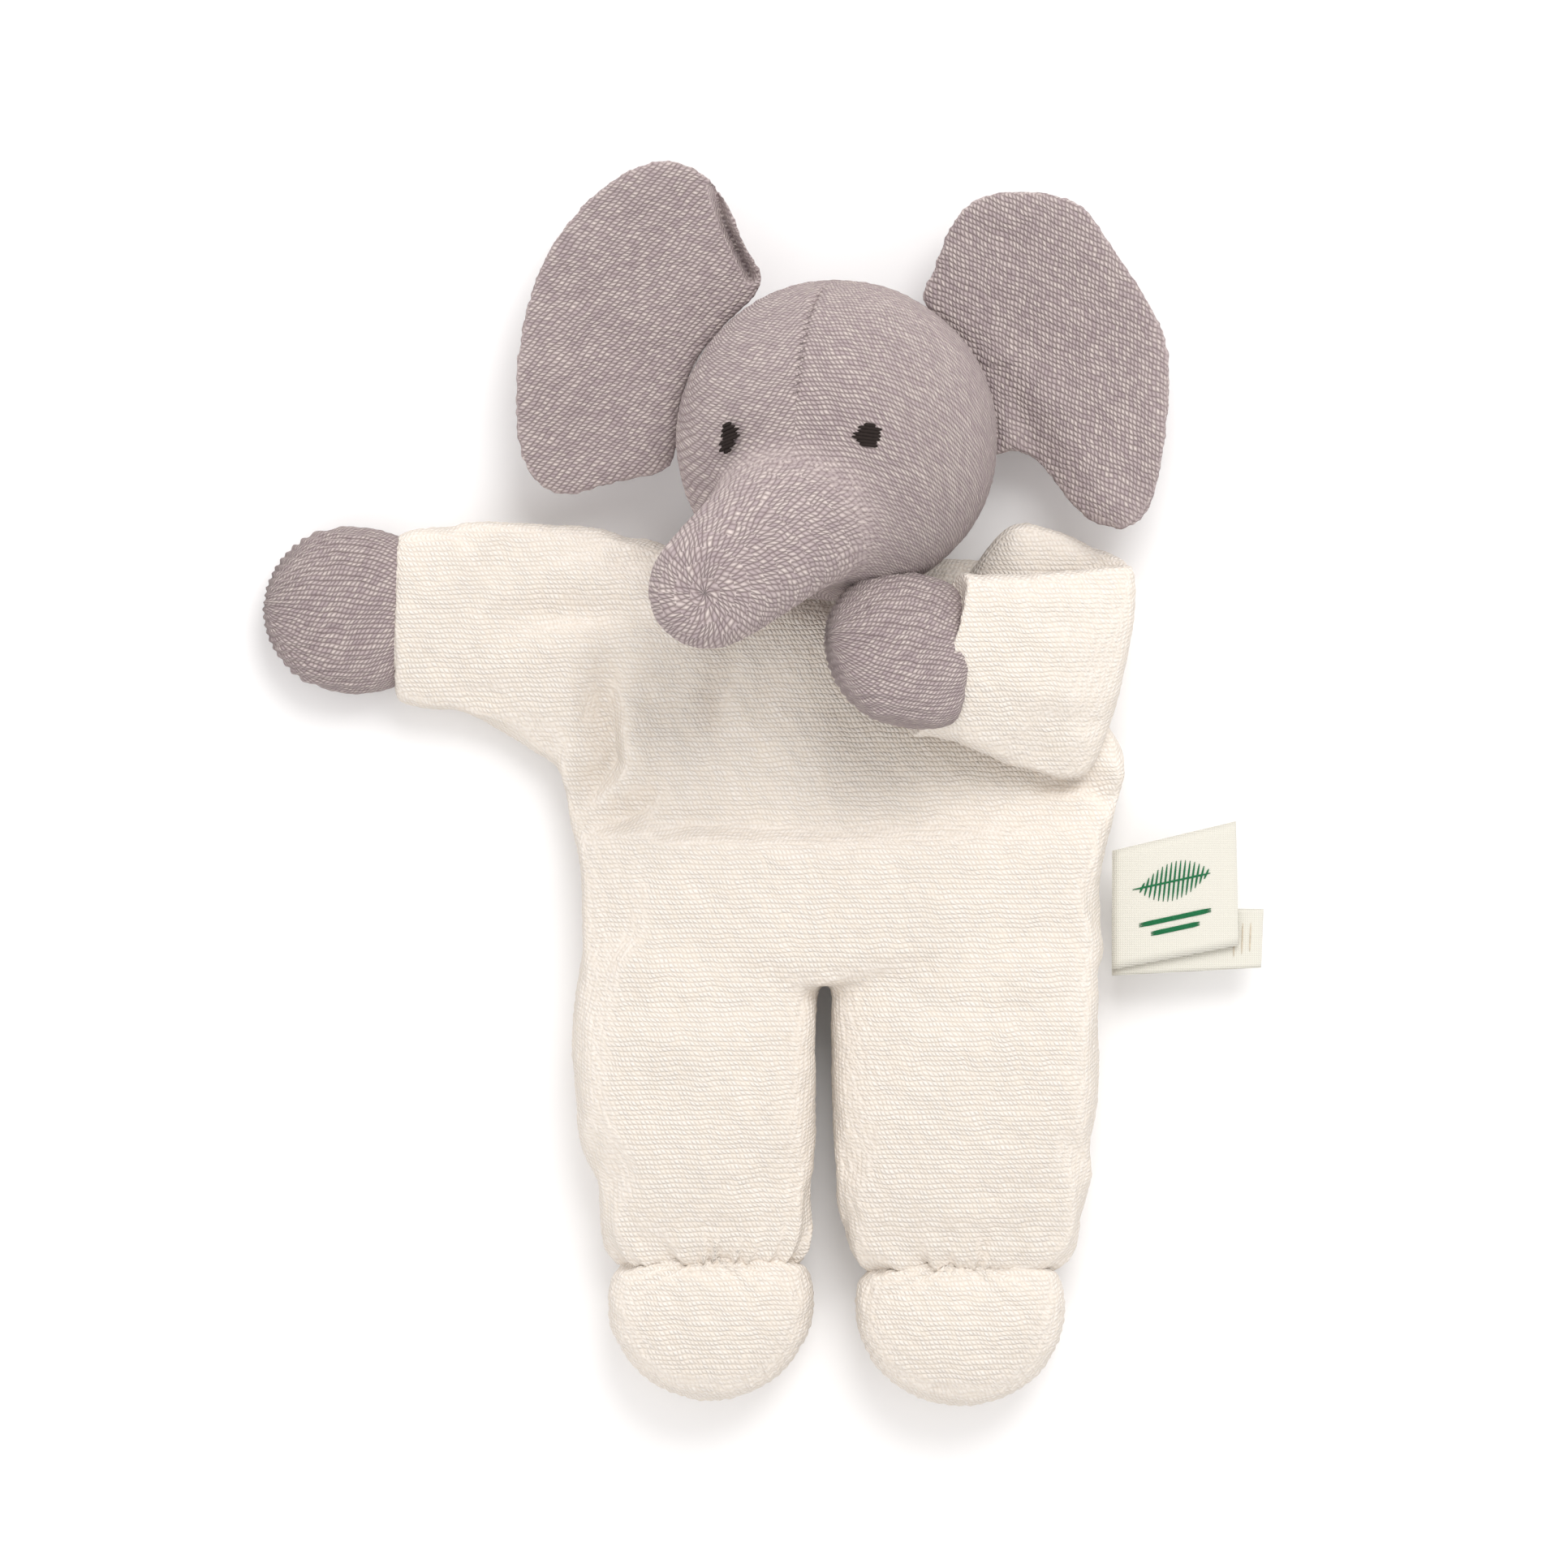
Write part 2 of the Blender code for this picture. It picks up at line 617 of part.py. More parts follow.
def leg_sections(shape, inset):
    across = Vector((1, 0, 0))
    up = Vector((0, 0, 1))
    top_y, top_x, top_width = (value * MM for value in shape["leg"][0])
    radius = LEG_HALF_HEIGHT - inset
    sections = []
    for degrees in LEG_TOP_ANGLES:
        angle = math.radians(degrees)
        centre = Vector((top_x, top_y + radius * math.sin(angle), LEG_HALF_HEIGHT))
        width = top_width - inset - (LEG_TOP_ROUNDING if degrees == LEG_TOP_ANGLES[0] else 0)
        sections.append((centre, across * width, up * radius * math.cos(angle)))
    for (y, x, half_width), half_height in zip(shape["leg"], LEG_HALF_HEIGHTS):
        centre = Vector((x * MM, y * MM, min(LEG_HALF_HEIGHT, half_height * MM + LEG_LIFT)))
        width = across * (half_width * MM - inset)
        sections.append((centre, width, up * (half_height * MM - inset)))
    return sections


def foot_stations(shape):
    ankle = shape["ankle_y"]
    length = ankle - shape["toe_y"]
    half_width = shape["foot_half_width"]
    rows = [(ankle + 3.6, 0.60, 2.2), (ankle + 1.0, 0.66, 4.2), (ankle - 1.2, 0.80, 7.2)]
    for share, width, height in ((0.14, 0.93, 10.2), (0.34, 1.0, 12.2), (0.56, 0.93, 12.2),
                                 (0.76, 0.74, 10.4), (0.91, 0.46, 7.0), (1.0, 0.16, 2.8)):
        rows.append((ankle - length * share, width, height))
    return [((shape["foot_x"], y, FOOT_HEIGHT), half_width * w, h) for y, w, h in rows]


def make_legs(mats):
    across = Vector((1, 0, 0))
    up = Vector((0, 0, 1))
    for side, shape in LEG_SHAPES.items():
        hip = Vector((shape["leg"][0][1] * MM, HIP_Y, LEG_HALF_HEIGHT))
        cover = loft("leg_cover_" + side, leg_sections(shape, 0), mats["cream_terry"], hip, False, False)
        give_thickness(cover)
        stuffing = leg_sections(shape, END_FILL_INSET)[:-1]
        loft("leg_filling_" + side, stuffing, mats["wool_filling"], hip)
        end_y, end_x, end_width = (value * MM for value in shape["leg"][-1])
        end_height = LEG_HALF_HEIGHTS[-1] * MM
        centre = Vector((end_x, end_y - ANKLE_THREAD - SEAM_GAP, end_height + LEG_LIFT))
        make_thread_ring(
            "ankle_thread_" + side, centre, end_width - ANKLE_THREAD, end_height - ANKLE_THREAD,
            ANKLE_THREAD, mats["cream_thread"], LIMB_ROUNDNESS,
        )
        stations = scaled(foot_stations(shape))
        ankle = Vector((shape["foot_x"], shape["ankle_y"], FOOT_HEIGHT)) * MM
        direction = Vector((0, -1, 0))
        sock = limb_sections(stations, direction, across, up, 0, 0)
        give_thickness(loft("foot_cover_" + side, sock, mats["cream_terry"], ankle, False, True))
        inner = limb_sections(stations[3:-1], direction, across, up, END_FILL_INSET, END_FILL_INSET)
        loft("foot_filling_" + side, inner, mats["wool_filling"], ankle)


# ---- labels ----------------------------------------------------------------


def make_label(name, corners, height, mat):
    bm = bmesh.new()
    low = [bm.verts.new((x * MM, y * MM, height)) for x, y in corners]
    face = bm.faces.new(low)
    raised = bmesh.ops.extrude_face_region(bm, geom=[face])
    moved = [v for v in raised["geom"] if isinstance(v, bmesh.types.BMVert)]
    bmesh.ops.translate(bm, verts=moved, vec=(0, 0, LABEL_THICKNESS))
    bmesh.ops.recalc_face_normals(bm, faces=bm.faces)
    add_object(name, bm, mat, Vector((LABEL_SEAM_X, corners[0][1] * MM, height)))


def make_labels(mats):
    make_label("seam_label_front", FRONT_LABEL, FRONT_LABEL_HEIGHT, mats["label_ribbon"])
    make_label("seam_label_back", BACK_LABEL, BACK_LABEL_HEIGHT, mats["label_ribbon"])


def main():
    clear_scene()
    mats = make_materials()
    make_torso(mats)
    make_neck(mats)
    make_head(mats)
    make_trunk(mats)
    make_ears(mats)
    make_arms(mats)
    make_legs(mats)
    make_labels(mats)


main()
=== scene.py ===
"""Looks of a soft elephant doll: terry romper, knitted head, trunk, ears and mittens, labels and stage."""
import math

import json

import bpy
import numpy as np
from bpy.props import FloatProperty, FloatVectorProperty, IntProperty, PointerProperty
from bpy.types import Operator, Panel, PropertyGroup
from mathutils import Matrix, Vector, noise
from mathutils.kdtree import KDTree


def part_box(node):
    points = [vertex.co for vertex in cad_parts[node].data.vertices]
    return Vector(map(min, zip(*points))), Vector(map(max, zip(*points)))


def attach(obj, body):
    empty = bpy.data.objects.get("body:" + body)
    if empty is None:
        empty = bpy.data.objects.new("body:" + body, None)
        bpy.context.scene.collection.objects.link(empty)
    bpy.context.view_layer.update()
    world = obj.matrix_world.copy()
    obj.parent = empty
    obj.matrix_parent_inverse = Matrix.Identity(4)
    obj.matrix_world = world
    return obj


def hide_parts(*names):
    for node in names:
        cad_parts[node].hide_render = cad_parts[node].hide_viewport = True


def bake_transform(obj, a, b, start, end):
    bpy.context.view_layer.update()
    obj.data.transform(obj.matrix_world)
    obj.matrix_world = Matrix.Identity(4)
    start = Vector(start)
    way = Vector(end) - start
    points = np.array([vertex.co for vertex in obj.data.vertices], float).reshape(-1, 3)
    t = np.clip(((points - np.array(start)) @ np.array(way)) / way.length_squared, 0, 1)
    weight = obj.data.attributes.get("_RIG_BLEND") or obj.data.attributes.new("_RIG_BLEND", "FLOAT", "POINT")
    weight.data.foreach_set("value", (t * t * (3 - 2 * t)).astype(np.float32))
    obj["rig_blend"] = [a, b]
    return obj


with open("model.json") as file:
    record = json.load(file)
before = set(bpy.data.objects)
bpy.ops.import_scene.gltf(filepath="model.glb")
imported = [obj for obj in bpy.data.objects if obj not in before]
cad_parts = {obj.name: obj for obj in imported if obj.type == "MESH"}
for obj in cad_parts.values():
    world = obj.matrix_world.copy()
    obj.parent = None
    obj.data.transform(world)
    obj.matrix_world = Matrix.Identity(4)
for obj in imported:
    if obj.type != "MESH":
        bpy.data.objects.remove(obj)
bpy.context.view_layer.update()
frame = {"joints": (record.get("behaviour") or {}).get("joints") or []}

bl_info = {
    "name": "Soft elephant doll",
    "version": (1, 0, 0),
    "blender": (4, 5, 0),
    "location": "View3D > Sidebar > Doll",
    "description": "Builds the fabric pieces of a soft elephant doll round its jointed frame",
    "category": "Add Mesh",
}

MM = 0.001
UP = Vector((0, 0, 1))
ACROSS_Y = Vector((0, 1, 0))
# Fabric that lies on the floor stops this far above it, and its nap half as far
FLOOR_GAP = 0.15 * MM
NAP_GAP = FLOOR_GAP / 2
# Height over which fabric near the floor, and its nap, are pressed flat
FLOOR_SOFTNESS = 1.2 * MM
NAP_SOFTNESS = 0.4 * MM


# ---- measures read from the frame ---------------------------------------------


def joint(name):
    return next(j for j in frame["joints"] if j["name"] == name)


def joint_place(name):
    return Vector(joint(name)["pos_m"])


# ---- settings -----------------------------------------------------------------


class DollShapeSettings(PropertyGroup):
    voxel: FloatProperty(
        name="Mesh spacing", description="Spacing of the fabric's base mesh",
        default=0.9 * MM, unit="LENGTH")
    nap: FloatProperty(
        name="Nap height", description="How far the terry loops stand out",
        default=0.28 * MM, unit="LENGTH")
    nap_grain: FloatProperty(
        name="Nap grain", description="Size of one tuft of loops",
        default=1.2 * MM, unit="LENGTH")
    lumps: FloatProperty(
        name="Lumps", description="How uneven the wool filling is",
        default=0.42 * MM, unit="LENGTH")
    sim_frames: IntProperty(
        name="Cloth frames", description="Length of the cloth simulation", default=16, min=2)


class DollFabricSettings(PropertyGroup):
    cream: FloatVectorProperty(
        name="Cream terry", description="Colour of the romper", subtype="COLOR",
        default=(0.90, 0.85, 0.80), min=0, max=1)
    # Painted shade: a darker colour painted into the hollows between the cream loops, in place of the shade
    # that falls there
    cream_painted_shade: FloatVectorProperty(
        name="Cream shade", description="Colour between the cream loops", subtype="COLOR",
        default=(0.70, 0.60, 0.49), min=0, max=1)
    grey: FloatVectorProperty(
        name="Grey terry", description="Colour of head, ears and hands", subtype="COLOR",
        default=(0.69, 0.603, 0.592), min=0, max=1)
    # Painted shade: a darker colour painted into the hollows between the grey loops, in place of the shade
    # that falls there
    grey_painted_shade: FloatVectorProperty(
        name="Grey shade", description="Colour between the grey loops", subtype="COLOR",
        default=(0.22, 0.165, 0.165), min=0, max=1)
    pitch: FloatProperty(
        name="Row pitch", description="Distance between two rows of loops",
        default=0.98 * MM, unit="LENGTH")
    relief: FloatProperty(
        name="Loop relief", description="Depth between two loops",
        default=0.45 * MM, unit="LENGTH")


class DollStageSettings(PropertyGroup):
    camera_height: FloatProperty(
        name="Camera height", description="Height of the camera over the floor",
        default=2.0, unit="LENGTH")
    view_width: FloatProperty(
        name="View width", description="Width of floor that the picture shows",
        default=0.3168, unit="LENGTH")
    key_power: FloatProperty(
        name="Key light", description="Power of the large light over the head, in watts", default=7.3)
    fill_power: FloatProperty(
        name="Fill light", description="Power of the light at the feet, in watts", default=1.5)


def shape():
    return bpy.context.scene.doll_shape


def fabric():
    return bpy.context.scene.doll_fabric


# ---- mesh helpers ---------------------------------------------------------------


def smooth_rows(rows, steps):
    """Smooth curve through rows of numbers, steps to a pair; the first and last rows only steer it."""
    out = []
    for k in range(len(rows) - 3):
        a, b, c, d = rows[k:k + 4]
        for t in np.linspace(0, 1, steps, endpoint=False):
            out.append(0.5 * (2 * b + (c - a) * t + (2 * a - 5 * b + 4 * c - d) * t * t
                              + (3 * b - a - 3 * c + d) * t**3))
    return out


def spline(rows, steps):
    """Open smooth curve from the first row to the last."""
    rows = np.asarray(rows, float)
    padded = np.vstack([2 * rows[0] - rows[1], rows, 2 * rows[-1] - rows[-2]])
    return np.array([*smooth_rows(padded, steps), rows[-1]])


def closed_curve(points, steps):
    ring = np.array(points, float)
    return np.array(smooth_rows(np.vstack([ring[-1], ring, ring[0], ring[1]]), steps))


def station(centre, across, up, power=0.85):
    """Cross-section of a tube: middle, two half axes, and a power: 1 is an ellipse, less is boxier."""
    return [*centre, *across, *up, power]


def scaled_stations(rows):
    """Stations given in millimetres, in metres; the last number is a shape and stays as it is."""
    rows = np.array(rows, float)
    rows[:, :9] *= MM
    return rows


def ring_faces(rings, sides):
    """Faces between rings of points, with a cap at each end."""
    faces = []
    for i in range(rings - 1):
        for k in range(sides):
            n = (k + 1) % sides
            faces.append((i * sides + k, i * sides + n, (i + 1) * sides + n, (i + 1) * sides + k))
    faces.append(tuple(reversed(range(sides))))
    faces.append(tuple(range((rings - 1) * sides, rings * sides)))
    return faces


def tube(stations, steps=6, sides=56):
    """Closed tube through stations, as (points, faces)."""
    rows = spline(stations, steps)
    angle = 2 * np.pi * np.arange(sides) / sides
    cos, sin = np.cos(angle), np.sin(angle)
    points = []
    for row in rows:
        power = row[9]
        side = np.sign(cos) * np.abs(cos) ** power
        rise = np.sign(sin) * np.abs(sin) ** power
        points.append(row[0:3] + np.outer(side, row[3:6]) + np.outer(rise, row[6:9]))
    return np.concatenate(points), ring_faces(len(points), sides)


def ball(centre, radii, turn, bands=24, sides=48):
    """Closed ball with three half widths, as (points, faces)."""
    points = []
    for i in range(bands + 1):
        angle = math.pi * i / bands
        y, r = -math.cos(angle), max(math.sin(angle), 0.01)
        for k in range(sides):
            a = 2 * math.pi * k / sides
            points.append((r * math.cos(a) * radii[0], y * radii[1], -r * math.sin(a) * radii[2]))
    points = np.array(points) @ np.array(turn).T + np.array(centre)
    return points, ring_faces(bands + 1, sides)


def add_object(name, data):
    obj = bpy.data.objects.new(name, data)
    bpy.context.scene.collection.objects.link(obj)
    return obj


def new_object(name, points, faces):
    mesh = bpy.data.meshes.new(name)
    mesh.from_pydata([tuple(p) for p in points], [], faces)
    mesh.validate()
    mesh.update()
    return add_object(name, mesh)


def merged(*solids):
    points = []
    faces = []
    for solid_points, solid_faces in solids:
        base = sum(len(p) for p in points)
        points.append(np.asarray(solid_points))
        faces.extend(tuple(i + base for i in face) for face in solid_faces)
    return np.concatenate(points), faces


def apply_modifiers(obj):
    graph = bpy.context.evaluated_depsgraph_get()
    mesh = bpy.data.meshes.new_from_object(obj.evaluated_get(graph))
    old = obj.data
    obj.modifiers.clear()
    obj.data = mesh
    bpy.data.meshes.remove(old)


def remesh(obj, voxel):
    modifier = obj.modifiers.new("remesh", "REMESH")
    modifier.mode = "VOXEL"
    modifier.voxel_size = voxel
    apply_modifiers(obj)


def subdivide(obj, levels=1):
    modifier = obj.modifiers.new("subdivide", "SUBSURF")
    modifier.levels = levels
    modifier.render_levels = levels
    apply_modifiers(obj)


def read_rows(items, name, width, kind):
    """One property of a mesh's points, edges, faces or corners, a row for each."""
    values = np.empty(len(items) * width, kind)
    items.foreach_get(name, values)
    return values.reshape(-1, width)


def coordinates(mesh):
    return read_rows(mesh.vertices, "co", 3, np.float32).astype(float)


def vertex_normals(mesh):
    return read_rows(mesh.vertex_normals, "vector", 3, np.float32).astype(float)


def edge_pairs(mesh):
    return read_rows(mesh.edges, "vertices", 2, np.int32)


def face_centres(mesh):
    return read_rows(mesh.polygons, "center", 3, np.float32)


def corner_points(mesh):
    """The vertex at each corner of each face."""
    return read_rows(mesh.loops, "vertex_index", 1, np.int32).ravel()


def corner_counts(mesh):
    return read_rows(mesh.polygons, "loop_total", 1, np.int32).ravel()


def set_coordinates(mesh, co):
    mesh.vertices.foreach_set("co", co.astype(np.float32).ravel())
    mesh.update()


def store_vectors(mesh, named, domain="POINT"):
    """Keeps rows of three numbers in the mesh, where materials find them by name."""
    for name, rows in named.items():
        attribute = mesh.attributes.new(name, "FLOAT_VECTOR", domain)
        attribute.data.foreach_set("vector", rows.astype(np.float32).ravel())


def relax(values, pairs, times, share=0.5):
    """Each value moves towards the mean of its neighbours."""
    count = len(values)
    a, b = pairs[:, 0], pairs[:, 1]
    degree = np.bincount(a, minlength=count) + np.bincount(b, minlength=count)
    values = values.copy()
    for _ in range(times):
        for k in range(values.shape[1]):
            column = values[:, k]
            total = np.bincount(a, weights=column[b], minlength=count)
            total += np.bincount(b, weights=column[a], minlength=count)
            values[:, k] = column + share * (total / degree - column)
    return values


def smooth_object(obj, times, share=0.5):
    set_coordinates(obj.data, relax(coordinates(obj.data), edge_pairs(obj.data), times, share))


def even_mesh(name, solid, times):
    """One even mesh over (points, faces) that may cross each other, with the joins rounded off."""
    obj = new_object(name, *solid)
    remesh(obj, shape().voxel)
    smooth_object(obj, times)
    return obj


def surface(obj):
    """The object's mesh, its coordinates and its normals."""
    return obj.data, coordinates(obj.data), vertex_normals(obj.data)


def settle(co, level=FLOOR_GAP, soft=FLOOR_SOFTNESS):
    """Presses everything near the floor flat onto it, with a soft bend up."""
    height = co[:, 2] - level
    co[:, 2] = level + np.where(height > soft, height, soft * np.exp(np.minimum(height / soft - 1, 0)))
    return co


def noise_field(co, size, seed):
    offset = Vector((seed * 3.1, seed * 7.7, seed * 1.3))
    scaled = (co / size).tolist()
    return np.array([noise.noise(Vector(p) + offset) for p in scaled])


def smoothstep(low, high, value):
    t = np.clip((value - low) / (high - low), 0, 1)
    return t * t * (3 - 2 * t)


def distance_to_path(co, path):
    """Distance of each point from a chain of points, and how far along the chain it is, 0 to 1."""
    path = np.asarray(path, float)
    best = np.full(len(co), 1e9)
    along = np.zeros(len(co))
    for k in range(len(path) - 1):
        a, d = path[k], path[k + 1] - path[k]
        t = np.clip(((co - a) @ d) / max(d @ d, 1e-12), 0, 1)
        gap = np.linalg.norm(co - a - np.outer(t, d), axis=1)
        closer = gap < best
        best = np.where(closer, gap, best)
        along = np.where(closer, (k + t) / (len(path) - 1), along)
    return best, along


def crease(co, normals, path, depth, width, lips=0.4):
    """Presses a soft crease along a path, with raised lips, fading out at its ends."""
    gap, along = distance_to_path(co, path)
    fade = np.sin(np.pi * np.clip(along, 0.02, 0.98)) ** 0.6
    groove = np.exp(-(gap / width) ** 2)
    lip = np.exp(-((gap - 2.1 * width) / (1.1 * width)) ** 2)
    return co - normals * ((groove - lips * lip) * depth * fade)[:, None]


def tufts(co, normals, seed, strength=1.0):
    """Uneven terry nap, as real relief of the surface."""
    size = shape().nap_grain
    relief = noise_field(co, size, seed) + 0.45 * noise_field(co, size * 2.6, seed + 5)
    return co + normals * (relief * shape().nap * strength)[:, None]


def lumpy(co, normals, seed, strength=1.0):
    """Soft lumps of the filling, under the fabric."""
    relief = noise_field(co, 17 * MM, seed) + 0.5 * noise_field(co, 8 * MM, seed + 3)
    return co + normals * (relief * shape().lumps * strength)[:, None]


def keep_rest_pattern(mesh, turn=None):
    """Stores the rest place and the rest normal, so that the knit stays put when a limb bends."""
    co = coordinates(mesh)
    normals = vertex_normals(mesh)
    if turn is not None:
        matrix = np.array(turn)
        co = co @ matrix
        normals = normals @ matrix
    store_vectors(mesh, {"knit_place": co, "knit_side": normals})


def roughened(mesh, seed, strength):
    """Adds the nap as relief, and presses it flat where it lies on the floor."""
    co = tufts(coordinates(mesh), vertex_normals(mesh), seed, strength)
    set_coordinates(mesh, settle(co, NAP_GAP, NAP_SOFTNESS))


def napped(mesh, co, seed, strength):
    """Sets the finished shape, keeps it for the pattern, and roughens it with the nap."""
    set_coordinates(mesh, settle(co))
    keep_rest_pattern(mesh)
    roughened(mesh, seed, strength)


def finish_surface(obj, material):
    mesh = obj.data
    if "knit_place" not in mesh.attributes:
        keep_rest_pattern(mesh)
    mesh.shade_smooth()
    mesh.materials.clear()
    mesh.materials.append(material)


def split_off(obj, name, keep):
    """New object with the faces for which keep is true; keep is one flag per face."""
    mesh = obj.data
    normals = vertex_normals(mesh)
    counts, corners = corner_counts(mesh), corner_points(mesh)
    starts = np.concatenate([[0], np.cumsum(counts)[:-1]])
    used = np.zeros(len(mesh.vertices), bool)
    used[corners[np.repeat(keep, counts)]] = True
    index = np.cumsum(used) - 1
    faces = [tuple(index[corners[starts[f]:starts[f] + counts[f]]]) for f in np.nonzero(keep)[0]]
    part = bpy.data.meshes.new(name)
    part.from_pydata(coordinates(mesh)[used].tolist(), [], faces)
    for attribute in mesh.attributes:
        if attribute.name.startswith("knit_"):
            values = read_rows(attribute.data, "vector", 3, np.float32)
            store_vectors(part, {attribute.name: values[used]})
    part.shade_smooth()
    part.normals_split_custom_set_from_vertices([tuple(n) for n in normals[used]])
    return add_object(name, part)


# ---- materials --------------------------------------------------------------------


def add_socket(group, name, kind, direction, default=None):
    socket = group.interface.new_socket(name=name, in_out=direction, socket_type=kind)
    if default is not None:
        socket.default_value = default


def set_inputs(node, values):
    for name, value in values.items():
        node.inputs[name].default_value = value


def vector_math(nodes, operation):
    node = nodes.new("ShaderNodeVectorMath")
    node.operation = operation
    return node


def calculator(nodes, links):
    """A function that adds one math node to a node tree and returns its output."""

    def calc(operation, first, second=None, clamp=False):
        node = nodes.new("ShaderNodeMath")
        node.operation = operation
        node.use_clamp = clamp
        for k, value in enumerate((first, second)):
            if value is None:
                continue
            if isinstance(value, (int, float)):
                node.inputs[k].default_value = value
            else:
                links.new(value, node.inputs[k])
        return node.outputs[0]

    return calc


# Length of a loop and its lean along the row, as shares of the row pitch
LOOP_SHARE = 0.86
LOOP_SLANT = 0.7
# How steeply a loop falls off across its row and along it, and how far down it goes there
ROW_FALL, ROW_DEPTH = 2.2, 0.85
SIDE_FALL, SIDE_DEPTH = 2.0, 0.72
LOWEST_LOOP = 0.65


def loops_on_plane(nodes, links, place, pick, pitch):
    """Height and random shade of loops on one plane; pick is the coordinates along and across the rows."""
    calc = calculator(nodes, links)

    def hollow(offset, fall, depth):
        return calc("MULTIPLY", calc("POWER", calc("MULTIPLY", calc("ABSOLUTE", offset), 2.0), fall), depth)

    split = nodes.new("ShaderNodeSeparateXYZ")
    links.new(place, split.inputs[0])
    rows = calc("DIVIDE", split.outputs[pick[1]], pitch)
    row = calc("FLOOR", rows)
    across = calc("SUBTRACT", calc("SUBTRACT", rows, row), 0.5)
    slant = calc("MULTIPLY", across, LOOP_SLANT)
    along = calc("DIVIDE", split.outputs[pick[0]], calc("MULTIPLY", pitch, LOOP_SHARE))
    along = calc("ADD", calc("ADD", along, slant), calc("MULTIPLY", row, 0.5))
    loop = calc("FLOOR", along)
    middle = calc("SUBTRACT", calc("SUBTRACT", along, loop), 0.5)
    height = calc("MULTIPLY", calc("SUBTRACT", 1.0, hollow(across, ROW_FALL, ROW_DEPTH)),
                  calc("SUBTRACT", 1.0, hollow(middle, SIDE_FALL, SIDE_DEPTH)))
    join = nodes.new("ShaderNodeCombineXYZ")
    links.new(row, join.inputs[0])
    links.new(loop, join.inputs[1])
    chance = nodes.new("ShaderNodeTexWhiteNoise")
    chance.noise_dimensions = "2D"
    links.new(join.outputs[0], chance.inputs["Vector"])
    uneven = calc("ADD", calc("MULTIPLY", chance.outputs["Value"], 1 - LOWEST_LOOP), LOWEST_LOOP)
    return calc("MULTIPLY", height, uneven, clamp=True), chance.outputs["Value"]


# Noise that bends the rows, and how sharply one side's rows give way to the next side's
WAVE_SCALE = 190
SIDE_POWER = 4.0
# How far the noise bends the courses round the trunk
TRUNK_WAVINESS = 2.4 * MM


def make_loops_group():
    """Terry loops in rows, laid on the surface from three sides."""
    group = bpy.data.node_groups.new("Terry loops", "ShaderNodeTree")
    add_socket(group, "Place", "NodeSocketVector", "INPUT")
    add_socket(group, "Side", "NodeSocketVector", "INPUT", (0.0, 0.0, 1.0))
    add_socket(group, "Pitch", "NodeSocketFloat", "INPUT", 0.001)
    add_socket(group, "Waviness", "NodeSocketFloat", "INPUT", 0.0012)
    add_socket(group, "Height", "NodeSocketFloat", "OUTPUT")
    add_socket(group, "Fleck", "NodeSocketFloat", "OUTPUT")
    nodes, links = group.nodes, group.links
    calc = calculator(nodes, links)

    def total(parts):
        return calc("ADD", calc("ADD", parts[0], parts[1]), parts[2])

    source = nodes.new("NodeGroupInput")
    sink = nodes.new("NodeGroupOutput")
    wave = nodes.new("ShaderNodeTexNoise")
    set_inputs(wave, {"Scale": WAVE_SCALE, "Detail": 1})
    links.new(source.outputs["Place"], wave.inputs["Vector"])
    centred = vector_math(nodes, "SUBTRACT")
    centred.inputs[1].default_value = (0.5, 0.5, 0.5)
    links.new(wave.outputs["Color"], centred.inputs[0])
    scaled = vector_math(nodes, "SCALE")
    links.new(centred.outputs[0], scaled.inputs[0])
    links.new(source.outputs["Waviness"], scaled.inputs["Scale"])
    place = vector_math(nodes, "ADD")
    links.new(source.outputs["Place"], place.inputs[0])
    links.new(scaled.outputs[0], place.inputs[1])
    side = nodes.new("ShaderNodeSeparateXYZ")
    links.new(source.outputs["Side"], side.inputs[0])
    weights = [calc("POWER", calc("ABSOLUTE", side.outputs[k]), SIDE_POWER) for k in range(3)]
    whole = total(weights)
    heights = []
    flecks = []
    for weight, pick in zip(weights, ((1, 2), (0, 2), (0, 1))):
        share = calc("DIVIDE", weight, whole)
        height, shade = loops_on_plane(nodes, links, place.outputs[0], pick, source.outputs["Pitch"])
        heights.append(calc("MULTIPLY", height, share))
        flecks.append(calc("MULTIPLY", shade, share))
    links.new(total(heights), sink.inputs["Height"])
    links.new(total(flecks), sink.inputs["Fleck"])
    return group


def attribute_node(nodes, name):
    node = nodes.new("ShaderNodeAttribute")
    node.attribute_name = name
    return node.outputs["Vector"]


def mix_colour(nodes, links, factor, first, second, blend="MIX"):
    mix = nodes.new("ShaderNodeMix")
    mix.data_type = "RGBA"
    mix.blend_type = blend
    sockets = [mix.inputs["Factor"], *(s for s in mix.inputs if s.type == "RGBA")]
    for socket, value in zip(sockets, (factor, first, second)):
        if isinstance(value, (float, tuple)):
            socket.default_value = value
        else:
            links.new(value, socket)
    return next(s for s in mix.outputs if s.type == "RGBA")


def new_material(name, values):
    """Material with its nodes, its links and its main shader, which gets the values."""
    material = bpy.data.materials.new(name)
    material.use_nodes = True
    nodes, links = material.node_tree.nodes, material.node_tree.links
    shader = nodes["Principled BSDF"]
    set_inputs(shader, values)
    return material, nodes, links, shader


def add_relief(nodes, links, shader, height, depth):
    bump = nodes.new("ShaderNodeBump")
    bump.inputs["Distance"].default_value = depth
    links.new(height, bump.inputs["Height"])
    links.new(bump.outputs["Normal"], shader.inputs["Normal"])


